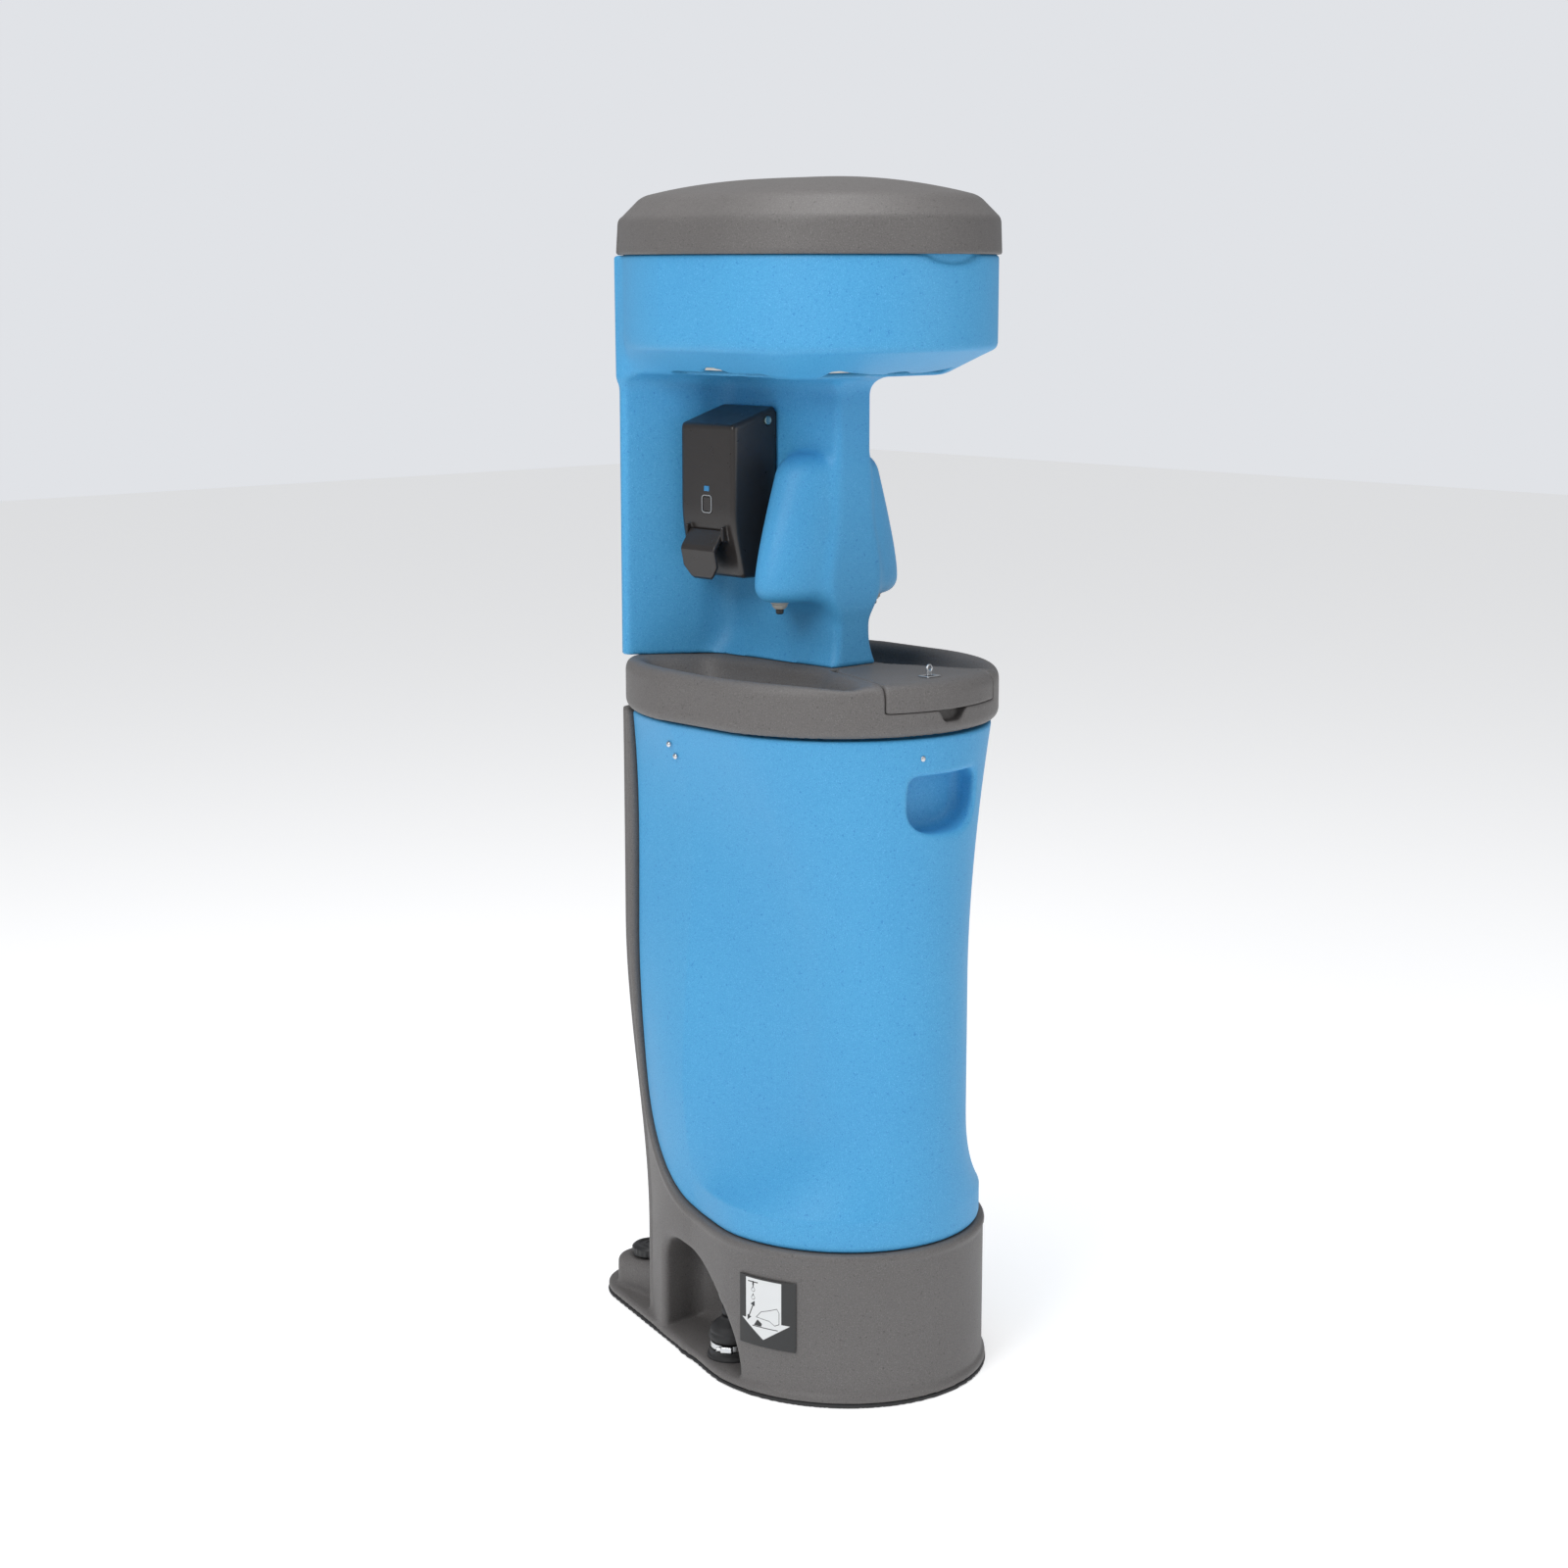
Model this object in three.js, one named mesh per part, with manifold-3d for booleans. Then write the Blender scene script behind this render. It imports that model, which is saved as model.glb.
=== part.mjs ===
// A portable handwash sink with two bowls: a grey waste tank that stands on the floor, a blue fresh-water
// tank on it, a grey basin, and a blue tower that carries the spouts, the soap and the towels.
// Millimetres. X runs to the right, Z up, and Y back from the front of the basin.
import * as THREE from "three";
import { mergeVertices } from "three/addons/utils/BufferGeometryUtils.js";
import Module from "manifold-3d";

const wasm = await Module();
wasm.setup();

// ---- Driving dimensions ----
const DEPTH = 640; // front of the basin to the back edge of the floor plate
const AIR = 0.3; // air left between two pieces that touch
const WALL = 6; // moulded wall of the large mouldings

// Heights above the floor
const PAD_TOP = 6;
const PLATE_TOP = 16;
const SEAM_Z = 210; // top of the waste tank, where the fresh tank stands
const SKIRT_Z = 253; // top of the fresh tank's straight foot band
const TANK_TOP = 904;
const BASIN_BOTTOM = 896;
const RIM_Z = 966;
const HEAD_BOTTOM = 1345;
const HEAD_EDGE = 1382;
const HEAD_TOP = 1500;
const CAP_EDGE = 1550;
const CAP_SHOULDER = 1576;
const CROWN = 1600;

// Half widths of the plan outlines
const BASIN_HALF = 218;
const HEAD_HALF = 210;
const CAP_OVERHANG = 3;
const TANK_TOP_HALF = 204;
const WAIST_HALF = 120;
const SKIRT_HALF = 188;
const REAR_HALF = 178; // fresh tank behind the waist
const LIP = 8; // waste tank outside the fresh tank
const BACK_HALF_LOW = 116;
const BACK_HALF_HIGH = 154;

// Places along Y
const TANK_BACK = 472;
const SIDE_END = 330; // where the straight sides turn in towards the back
const SPINE_Y = 450; // joint between the fresh tank and the spine of the waste tank
const SEAM_RADIUS = 100;
const PANEL_EDGE_Y = 466;
const PANEL_ROOT_Y = 403;
const COLUMN_FRONT = 183;
const BASIN_BACK = 480;

// Foot arch, pump and plate
const ARCH_FRONT = 203;
const ARCH_BACK = 406;
const ARCH_TOP = 158;
const ARCH_CROWN_Y = 380;
const ARCH_INNER = 75;
const PUMP_X = 146;
const PUMP_Y = 268;
const TONGUE_HALF = 90;
const TONGUE_RADIUS = 32;

// Drain box at the back
const BOX_X = [-86, -10];
const BOX_BACK = 596;
const BOX_TOP = 64;
const DRAIN_CAP_RADIUS = 29;

// Basin, bowls and hatch
const BASIN_NOSE = 225;
const LID_BOTTOM = 929;
const LID_FRONT_HALF = 100;
const LID_FRONT_Y = 25;
const LID_REAR_HALF = 49;
const LID_REAR_Y = 178;
const LID_AXIS = [170, 960]; // Y and Z of the lid's pin
const LID_BARREL = 6;
const LID_PIN = 2.5;
const BOWL_FLOOR = 910;
const DRAIN = [112, 300];
const DRAIN_RADIUS = 15;
const FILL_Y = 105;
const FILL_RADIUS = 27;
const STAPLE_Y = 46;

// Tower
const COLUMN_HALF = 32;
const WING_Y = 236;
const SPOUT_X = 86;
const SPOUT_SEAT = 1056;
const HOSE_RADIUS = 6;
const HOSE_X = 20;
const HOSE_Y = 462;
const SLOT_DEPTH = 20;
const FRONT_SLOT_HALF = 114;
const SIDE_SLOT = [190, 378];
const UNDERSIDE = { front: 122, half: 142, nose: 45 }; // foot of the towel housing's bevel
const CAP_AXIS = [489, 1494];
const CAP_BARREL = 6;
const CAP_PIN = 3;

// Soap dispensers
const SOAP_Y = [296, 402];
const SOAP_OUT = 113;
const SOAP_Z = [1079, 1304];
const SOAP_SLOPE = 23; // drop of the cover's top towards its outer face
const SOAP_TAPER_Z = 1151;
const SOAP_TAPER = 18;
const SOAP_WALL = 2.5;
const SOAP_LEVER_Y = [316, 382];
const SOAP_VALVE_X = 66;
const SOAP_VALVE_Y = 349;
const SOAP_SHELF_Z = 1100; // the bracket that the pouch's valve clips into

const clamp = THREE.MathUtils.clamp;
const ease = (t) => THREE.MathUtils.smoothstep(t, 0, 1);

// ---- Solids ----

// A three.js geometry as a solid: its shared vertices are merged, so that it is one closed surface.
function solid(geometry) {
  const g = geometry.clone();
  g.deleteAttribute("normal");
  g.deleteAttribute("uv");
  const merged = mergeVertices(g, 1e-4);
  return new wasm.Manifold(
    new wasm.Mesh({
      numProp: 3,
      vertProperties: merged.attributes.position.array,
      triVerts: new Uint32Array(merged.index.array),
    }),
  );
}

function geometryOf(body) {
  const m = body.getMesh();
  const g = new THREE.BufferGeometry();
  g.setAttribute("position", new THREE.BufferAttribute(new Float32Array(m.vertProperties), 3));
  g.setIndex(new THREE.BufferAttribute(m.triVerts, 1));
  g.computeVertexNormals();
  return g;
}

const cut = (body, ...tools) => tools.reduce((a, b) => a.subtract(b), body);
const join = (body, ...more) => more.reduce((a, b) => a.add(b), body);

function block([x0, x1], [y0, y1], [z0, z1]) {
  const g = new THREE.BoxGeometry(Math.abs(x1 - x0), y1 - y0, z1 - z0);
  return solid(g.translate((x0 + x1) / 2, (y0 + y1) / 2, (z0 + z1) / 2));
}

// A round bar along "x", "y" or "z" that starts at a point.
function bar(radius, length, axis, [x, y, z], sides = 16) {
  const g = new THREE.CylinderGeometry(radius, radius, length, sides);
  if (axis === "x") g.rotateZ(Math.PI / 2).translate(length / 2, 0, 0);
  if (axis === "y") g.translate(0, length / 2, 0);
  if (axis === "z") g.rotateX(Math.PI / 2).translate(0, 0, length / 2);
  return solid(g.translate(x, y, z));
}

// A profile of [radius, height] points turned about the Z axis.
function turned(profile, sides = 16) {
  const g = new THREE.LatheGeometry(
    profile.map(([r, z]) => new THREE.Vector2(r, z)),
    sides,
  );
  return solid(g.rotateX(Math.PI / 2));
}

// A plan shape raised from z0 to z1.
function prism(points, [z0, z1]) {
  const shape = new THREE.Shape(points.map(([x, y]) => new THREE.Vector2(x, y)));
  const g = new THREE.ExtrudeGeometry(shape, { depth: z1 - z0, bevelEnabled: false });
  return solid(g.translate(0, 0, z0));
}

// A side shape in Y and Z, carried from x0 to x1.
function sideCut(shape, [x0, x1]) {
  const g = new THREE.ExtrudeGeometry(shape, { depth: x1 - x0, bevelEnabled: false, curveSegments: 14 });
  return solid(g.rotateX(Math.PI / 2).rotateZ(Math.PI / 2).translate(x0, 0, 0));
}

// A hose: a round section carried along a smooth curve through the points.
function hose(points, radius, steps) {
  const path = new THREE.CatmullRomCurve3(points.map((p) => new THREE.Vector3(...p)));
  const section = new THREE.Shape(
    new THREE.Path().absarc(0, 0, radius, 0, 2 * Math.PI).getSpacedPoints(6).slice(0, 6),
  );
  return solid(new THREE.ExtrudeGeometry(section, { steps, extrudePath: path }));
}

// Rings of equal count laid one above the other: the wall of a cylinder moved onto them, both ends closed.
function loft(levels) {
  const sides = levels[0].ring.length;
  const steps = levels.length - 1;
  const g = new THREE.CylinderGeometry(1, 1, 1, sides, steps);
  const p = g.attributes.position;
  for (let i = 0; i < p.count; i++) {
    const level = levels[Math.round((p.getY(i) + 0.5) * steps)];
    const turn = Math.atan2(p.getX(i), p.getZ(i)) / (2 * Math.PI);
    const column = (Math.round(turn * sides) + sides) % sides;
    const onAxis = Math.hypot(p.getX(i), p.getZ(i)) < 0.5;
    const at = onAxis ? middle(level.ring) : level.ring[column];
    p.setXYZ(i, at.x, at.y, level.z);
  }
  return solid(g);
}

function middle(ring) {
  const sum = ring.reduce((a, b) => a.clone().add(b), new THREE.Vector2());
  return sum.divideScalar(ring.length);
}

// ---- The plan outline of the mouldings ----

// A half ellipse in front, sides that run back to SIDE_END, and a narrower back. Read anticlockwise from
// the middle of the back, seen from above, with the same number of points for every plan.
function outline({ front, half, nose, wide, tail, back }, grow = 0, steps = 5) {
  const middleY = front + nose;
  const h = half + grow;
  const w = wide + grow;
  const t = tail + grow;
  const b = back + grow;
  const corner = 12;
  const cheek = new THREE.Vector2(w - 0.17 * (w - t), SIDE_END + 0.57 * (b - SIDE_END));
  const pull = 0.45 * (SIDE_END - middleY);
  const path = new THREE.Path();
  path.moveTo(0, b);
  path.lineTo(-t + corner, b);
  path.quadraticCurveTo(-t, b, -t, b - corner);
  path.quadraticCurveTo(-cheek.x, cheek.y, -w, SIDE_END);
  path.bezierCurveTo(-w, SIDE_END - pull, -h, middleY + pull, -h, middleY);
  path.absellipse(0, middleY, h, nose + grow, Math.PI, 2 * Math.PI, false);
  path.bezierCurveTo(h, middleY + pull, w, SIDE_END - pull, w, SIDE_END);
  path.quadraticCurveTo(cheek.x, cheek.y, t, b - corner);
  path.quadraticCurveTo(t, b, t - corner, b);
  return path.getPoints(steps);
}

// The tanks' outline at a height: a waist between a flared top and a full-width foot band.
function tankPlan(z) {
  const flare = clamp((z - 560) / (TANK_TOP - 560), 0, 1) ** 1.8;
  const foot = ease((330 - z) / (330 - SKIRT_Z));
  const half = WAIST_HALF + (TANK_TOP_HALF - WAIST_HALF) * flare + (SKIRT_HALF - WAIST_HALF) * foot;
  const rearFlare = clamp((z - 730) / (TANK_TOP - 730), 0, 1) ** 2;
  const slim = ease(Math.abs(z - 400) / 330);
  const low = z < 400 ? 18 * ease((400 - z) / 190) : 18 * slim;
  return {
    front: 14 - 10 * flare - 2 * foot,
    half,
    nose: 1.06 * half,
    wide: REAR_HALF - low + (TANK_TOP_HALF - REAR_HALF + 18) * rearFlare,
    tail: BACK_HALF_LOW + (BACK_HALF_HIGH - BACK_HALF_LOW) * ease((z - 150) / 450),
    back: TANK_BACK,
  };
}

const basinPlan = {
  front: 0,
  half: BASIN_HALF,
  nose: BASIN_NOSE,
  wide: BASIN_HALF,
  tail: BACK_HALF_HIGH + 1,
  back: BASIN_BACK,
};
const headPlan = {
  front: 7,
  half: HEAD_HALF,
  nose: BASIN_NOSE - 7,
  wide: HEAD_HALF,
  tail: BACK_HALF_HIGH + 1,
  back: BASIN_BACK,
};

const tankLevels = [SKIRT_Z, 290, 330, 400, 560, 680, 780, 850];
const tankLoft = (z0, z1, grow, steps) =>
  loft(
    [z0, ...tankLevels.filter((z) => z > z0 && z < z1), z1].map((z) => ({
      z,
      ring: outline(tankPlan(z), grow, steps),
    })),
  );
const planLoft = (plan, rows, steps) =>
  loft(rows.map(([z, grow]) => ({ z, ring: outline(plan, grow, steps) })));

// The region of the fresh tank seen from the side: above the seam and in front of the spine.
function freshSide(grow) {
  const s = new THREE.Shape();
  const z = SEAM_Z - grow;
  const y = SPINE_Y + grow;
  const r = SEAM_RADIUS;
  s.moveTo(-60, z);
  s.lineTo(y - r, z);
  s.absarc(y - r, z + r, r, -Math.PI / 2, 0, false);
  s.lineTo(y, TANK_TOP + 60);
  s.lineTo(-60, TANK_TOP + 60);
  return sideCut(s, [-300, 300]);
}

// ---- Assembly helpers ----

const sink = new THREE.Group();
sink.position.y = -DEPTH / 2;

const finishes = {
  blue: { color: 0x4aa4e0, roughness: 0.5, metalness: 0 },
  grey: { color: 0x77746f, roughness: 0.6, metalness: 0 },
  black: { color: 0x1d1b1a, roughness: 0.55, metalness: 0 },
  rubber: { color: 0x2b2b2c, roughness: 0.8, metalness: 0 },
  soapBlack: { color: 0x2b2523, roughness: 0.35, metalness: 0 },
  steel: { color: 0xb9bcbd, roughness: 0.3, metalness: 1 },
  collar: { color: 0xa9a79f, roughness: 0.5, metalness: 0 },
  clear: { color: 0x8fa9b5, roughness: 0.1, metalness: 0 },
  hose: { color: 0xd7d9d6, roughness: 0.4, metalness: 0 },
  paper: { color: 0xece8dd, roughness: 0.9, metalness: 0 },
  label: { color: 0x2b2b2b, roughness: 0.4, metalness: 0 },
};

function add(name, finish, body, group = sink) {
  const mesh = new THREE.Mesh(geometryOf(body), new THREE.MeshStandardMaterial(finishes[finish]));
  mesh.name = name;
  group.add(mesh);
  return mesh;
}

// A group standing at a place, for a unit drawn about its own origin.
function station(x, y, z) {
  const g = new THREE.Group();
  g.position.set(x, y, z);
  sink.add(g);
  return g;
}

const sides = [
  ["left", -1],
  ["right", 1],
];

// ---- Floor pad and plate outline ----

// The plate follows the waste tank and tapers back into a tongue.
function platePoints(grow) {
  const plan = tankPlan(SEAM_Z);
  const front = outline(plan, LIP + grow, 8).filter((p) => p.y < SIDE_END + 2);
  const r = TONGUE_RADIUS;
  const half = TONGUE_HALF + grow;
  const back = DEPTH - 4 + grow;
  const path = new THREE.Path();
  path.absarc(half - r, back - r, r, 0.28, Math.PI / 2, false);
  path.absarc(-half + r, back - r, r, Math.PI / 2, Math.PI - 0.28, false);
  const tongue = path.getPoints(6);
  return [...front, ...tongue].map((p) => [p.x, p.y]);
}

const supplyRoute = (s) => [
  [s * 97.4, PUMP_Y + 12, PLATE_TOP + 7.6],
  [s * 86, PUMP_Y + 13, PLATE_TOP + 8.6],
  [s * 58, 306, 34],
  [s * 34, 390, 46],
  [s * 22, 442, 84],
  [s * HOSE_X, HOSE_Y, 170],
  [s * HOSE_X, HOSE_Y, 400],
  [s * HOSE_X, HOSE_Y, 700],
  [s * HOSE_X, HOSE_Y, 900],
  [s * HOSE_X, HOSE_Y, 990],
  [s * 18, 440, 1055],
  [s * 16, 380, 1102],
  [s * 14, 310, 1130],
  [s * 22, 262, 1140],
  [s * 50, 241, 1138],
  [s * 76, WING_Y, 1122],
  [s * SPOUT_X, WING_Y, 1096],
  [s * SPOUT_X, WING_Y, SPOUT_SEAT + 16.3],
];
const SUCTION = [88, 352];

// An anchor hole runs down through the tongue.
const anchorHole = bar(6, 30, "z", [42, DEPTH - 36, -2]);
add("floor_pad", "rubber", prism(platePoints(4), [0, PAD_TOP]).subtract(anchorHole));

// ---- Waste tank ----

function archShape(grow) {
  const s = new THREE.Shape();
  const back = ARCH_BACK + grow;
  const top = ARCH_TOP + grow;
  const low = PLATE_TOP - 0.5;
  s.moveTo(back, low);
  s.lineTo(back, top - 40);
  s.quadraticCurveTo(back, top, ARCH_CROWN_Y - 10, top);
  const crown = ARCH_CROWN_Y - 10;
  s.absellipse(crown, low, crown - ARCH_FRONT + grow, top - low, Math.PI / 2, Math.PI, false);
  return s;
}
const arch = (s, grow) => {
  const inner = ARCH_INNER - grow;
  return sideCut(archShape(grow), s > 0 ? [inner, 260] : [-260, -inner]);
};

const freshRegion = freshSide(0);
let waste = tankLoft(PLATE_TOP - 1, BASIN_BOTTOM - AIR, LIP);
waste = waste.subtract(freshRegion);
waste = waste.add(prism(platePoints(3), [PAD_TOP + AIR, PLATE_TOP]));
waste = waste.add(block(BOX_X, [TANK_BACK - 20, BOX_BACK], [PLATE_TOP - 1, BOX_TOP]));
const drainPort = [(BOX_X[0] + BOX_X[1]) / 2, BOX_BACK - 44];
let wasteHollow = tankLoft(PLATE_TOP + WALL, BASIN_BOTTOM + 10, LIP - WALL, 3);
wasteHollow = wasteHollow.subtract(freshSide(WALL));
wasteHollow = cut(wasteHollow, arch(-1, WALL), arch(1, WALL));
wasteHollow = wasteHollow.add(
  block(
    [BOX_X[0] + WALL, BOX_X[1] - WALL],
    [TANK_BACK - 30, BOX_BACK - WALL],
    [PLATE_TOP + WALL, BOX_TOP - WALL],
  ),
);
waste = cut(waste, wasteHollow, arch(-1, 0), arch(1, 0));
waste = cut(waste, bar(20, 20, "z", [...drainPort, BOX_TOP - 15]));
waste = cut(waste, anchorHole);
for (const [, s] of sides) {
  waste = waste.subtract(hose(supplyRoute(s).slice(0, 4), HOSE_RADIUS + 3, 8));
  waste = waste.subtract(bar(HOSE_RADIUS + 1, 120, "z", [s * SUCTION[0], SUCTION[1], 110]));
  waste = waste.subtract(bar(DRAIN_RADIUS + 2 + AIR, 30, "z", [s * DRAIN[0], DRAIN[1], SEAM_Z - 20]));
}
add("waste_tank", "grey", waste);

const cap = turned([
  [0, 0],
  [17, 0],
  [17, 14],
  [DRAIN_CAP_RADIUS, 14 + AIR],
  [DRAIN_CAP_RADIUS, 24],
  [DRAIN_CAP_RADIUS - 3, 28],
  [0, 28],
]);
add("waste_cap", "black", cap, station(drainPort[0], drainPort[1], BOX_TOP - 14));

// ---- Fresh-water tank ----

// Its top steps in, so that the basin's skirt hangs over it.
const neckLoft = (z1, grow) =>
  loft([TANK_TOP - 30, z1].map((z) => ({ z, ring: outline(tankPlan(BASIN_BOTTOM), grow, 3) })));
let fresh = tankLoft(SEAM_Z + AIR, BASIN_BOTTOM - 2, 0);
fresh = fresh.add(neckLoft(TANK_TOP, -18));
fresh = fresh.intersect(freshSide(-AIR));
const pocket = (grow) => {
  const s = new THREE.Shape();
  s.moveTo(-60 - grow, 844 + grow);
  s.lineTo(-60 - grow, 787);
  s.quadraticCurveTo(-57, 767 - grow, 0, 765 - grow);
  s.quadraticCurveTo(57, 767 - grow, 60 + grow, 787);
  s.lineTo(60 + grow, 844 + grow);
  const g = new THREE.ExtrudeGeometry(s, { depth: 90 + grow, bevelEnabled: false, curveSegments: 8 });
  return solid(g.rotateX(Math.PI / 2).translate(0, 56 + grow, 0));
};
let freshHollow = tankLoft(SEAM_Z + WALL, BASIN_BOTTOM - 2 - WALL, -WALL, 3);
freshHollow = freshHollow.add(neckLoft(TANK_TOP - WALL, -18 - WALL));
freshHollow = freshHollow.intersect(freshSide(-WALL));
freshHollow = cut(freshHollow, pocket(WALL));
const neck = bar(FILL_RADIUS + 5, 24, "z", [0, FILL_Y, TANK_TOP - 2]);
fresh = join(fresh, neck);
fresh = cut(fresh, freshHollow, pocket(0), bar(FILL_RADIUS, 60, "z", [0, FILL_Y, TANK_TOP - 20]));
for (const [, s] of sides) {
  fresh = fresh.subtract(bar(HOSE_RADIUS + 1, 20, "z", [s * SUCTION[0], SUCTION[1], SEAM_Z - 2]));
  const column = bar(DRAIN_RADIUS + 2 + AIR, 720, "z", [s * DRAIN[0], DRAIN[1], SEAM_Z - 5]);
  fresh = fresh.subtract(column);
}
add("fresh_tank", "blue", fresh);

const fillCap = turned([
  [0, 22],
  [FILL_RADIUS + 6, 22],
  [FILL_RADIUS + 6, 0],
  [FILL_RADIUS + 10, 0],
  [FILL_RADIUS + 10, 25],
  [FILL_RADIUS + 8, 28],
  [0, 28],
]);
add("fill_cap", "black", fillCap, station(0, FILL_Y, TANK_TOP + 2));

// ---- Basin ----

const basinRows = [
  [BASIN_BOTTOM, -6],
  [BASIN_BOTTOM + 7, 0],
  [RIM_Z - 10, 0],
  [RIM_Z - 3, -3],
  [RIM_Z, -10],
];
const basinBlank = planLoft(basinPlan, basinRows, 6);

// The lid is a wedge between the bowls, cut out of the front of the basin.
function lidWedge(gap, [z0, z1], rear = LID_REAR_Y) {
  const slope = (LID_FRONT_HALF - LID_REAR_HALF) / (LID_REAR_Y - LID_FRONT_Y);
  const halfAt = (y) => LID_REAR_HALF + slope * (LID_REAR_Y - y) - gap;
  const back = rear - gap;
  return prism(
    [
      [-halfAt(-20), -20],
      [halfAt(-20), -20],
      [halfAt(back), back],
      [-halfAt(back), back],
    ],
    [z0, z1],
  );
}

// One bowl: a closed curve round the rim, drawn in towards the drain as it goes down.
const bowlRim = [
  [101, 78],
  [126, 56],
  [163, 108],
  [189, 190],
  [190, 300],
  [174, 388],
  [146, 436],
  [104, 424],
  [66, 398],
  [55, 330],
  [55, 200],
  [76, 140],
];
function bowl(s, grow) {
  const rows = [
    [RIM_Z + 1, 1.03],
    [RIM_Z - 8, 1],
    [BOWL_FLOOR + 12, 0.87],
    [BOWL_FLOOR, 0.6],
  ].reverse();
  const turn = s > 0 ? bowlRim : bowlRim.map(([x, y]) => [-x, y]).reverse();
  const curve = new THREE.CatmullRomCurve3(turn.map(([x, y]) => new THREE.Vector3(x, y, 0)), true);
  const centre = new THREE.Vector2(s * DRAIN[0], DRAIN[1] - 30);
  const points = curve.getSpacedPoints(26).slice(0, 26).map((p) => new THREE.Vector2(p.x, p.y));
  return loft(
    rows.map(([z, share]) => ({
      z: z - 0.9 * grow,
      ring: points.map((p) => {
        const out = p.clone().sub(centre);
        return out.setLength(out.length() * share + grow).add(centre);
      }),
    })),
  );
}

const ledge = [LID_BOTTOM - WALL, RIM_Z + 10];
let basin = basinBlank;
let hollow = planLoft(basinPlan, [[BASIN_BOTTOM - 1, -WALL - 2], [RIM_Z - WALL, -WALL - 2]], 3);
hollow = cut(hollow, bowl(-1, WALL - 1), bowl(1, WALL - 1), lidWedge(-WALL, ledge));
hollow = cut(hollow, block([-34, 34], [0, 24], [907, LID_BOTTOM]));
basin = cut(basin, hollow, bowl(-1, 0), bowl(1, 0), lidWedge(0, [LID_BOTTOM, RIM_Z + 10]));
basin = cut(basin, bar(FILL_RADIUS + 18, 60, "z", [0, FILL_Y, BASIN_BOTTOM]));
const notch = new THREE.Shape([
  new THREE.Vector2(-15, 913),
  new THREE.Vector2(15, 913),
  new THREE.Vector2(25, LID_BOTTOM + 1),
  new THREE.Vector2(-25, LID_BOTTOM + 1),
]);
const notchCut = new THREE.ExtrudeGeometry(notch, { depth: 30, bevelEnabled: false });
basin = cut(basin, solid(notchCut.rotateX(Math.PI / 2).translate(0, 17, 0)));
const lidPin = (radius, end) => {
  const half = LID_REAR_HALF + end;
  return bar(radius, 2 * half, "x", [-half, ...LID_AXIS], 12);
};
basin = cut(basin, lidPin(LID_PIN + AIR, 7));
for (const [, s] of sides) {
  basin = cut(basin, bar(HOSE_RADIUS + 2, 90, "z", [s * HOSE_X, HOSE_Y, BASIN_BOTTOM - 5]));
  basin = cut(basin, bar(DRAIN_RADIUS + 2 + AIR, 40, "z", [s * DRAIN[0], DRAIN[1], BOWL_FLOOR - 30]));
}
// The hatch tray, with the recess, its walls and the finger notch, is a solid of its own set in the basin.
const trayHeights = [BASIN_BOTTOM - 1, RIM_Z + 10];
add("hatch_tray", "grey", basin.intersect(lidWedge(-WALL, trayHeights)));
add("basin", "grey", basin.subtract(lidWedge(-WALL - AIR, trayHeights)));

// ---- Hatch lid, its pin and the lock staple ----

let lid = basinBlank.intersect(lidWedge(1, [LID_BOTTOM + AIR, RIM_Z + 1], LID_AXIS[0] + 1));
const lidHollow = planLoft(basinPlan, [[LID_BOTTOM - 1, -WALL - 2], [RIM_Z - WALL, -WALL - 2]], 3);
lid = lid.subtract(lidHollow.intersect(lidWedge(WALL + 1, [LID_BOTTOM - 1, RIM_Z - WALL], LID_AXIS[0] - 2)));
const barrelHalf = LID_REAR_HALF - 9;
lid = lid.add(bar(LID_BARREL, 2 * barrelHalf, "x", [-barrelHalf, ...LID_AXIS]));
lid = cut(lid, lidPin(LID_PIN + AIR, 10));
// The rear corners step in, so that they clear the recess as the lid swings up.
for (const [, s] of sides) {
  const corner = [s * (LID_REAR_HALF - 1), s * (LID_REAR_HALF + 20)].sort((a, b) => a - b);
  lid = cut(lid, block(corner, [LID_AXIS[0] - LID_BARREL - 1, LID_REAR_Y], [LID_BOTTOM, RIM_Z + 1]));
}
lid = cut(lid, block([-8, 8], [STAPLE_Y - 7, STAPLE_Y + 5], [RIM_Z - 20, RIM_Z + 20]));
add("hatch_lid", "grey", lid);
add("hatch_pin", "steel", lidPin(LID_PIN, 6));

let staple = block([-5, 5], [STAPLE_Y - 1.5, STAPLE_Y + 1.5], [LID_BOTTOM + AIR, RIM_Z + 11]);
staple = staple.add(bar(5, 3, "y", [0, STAPLE_Y - 1.5, RIM_Z + 11]));
staple = staple.add(block([-11, 11], [STAPLE_Y - 8, STAPLE_Y + 8], [LID_BOTTOM + AIR, LID_BOTTOM + 2]));
staple = staple.subtract(bar(3.4, 8, "y", [0, STAPLE_Y - 4, RIM_Z + 11], 16));
add("lock_staple", "steel", staple);
let plate = block([-13, 13], [STAPLE_Y - 11, STAPLE_Y + 9], [RIM_Z + AIR, RIM_Z + 1.5]);
plate = plate.subtract(block([-8, 8], [STAPLE_Y - 7, STAPLE_Y + 5], [RIM_Z - 1, RIM_Z + 3]));
add("lock_plate", "steel", plate);

// ---- Drains ----

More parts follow.
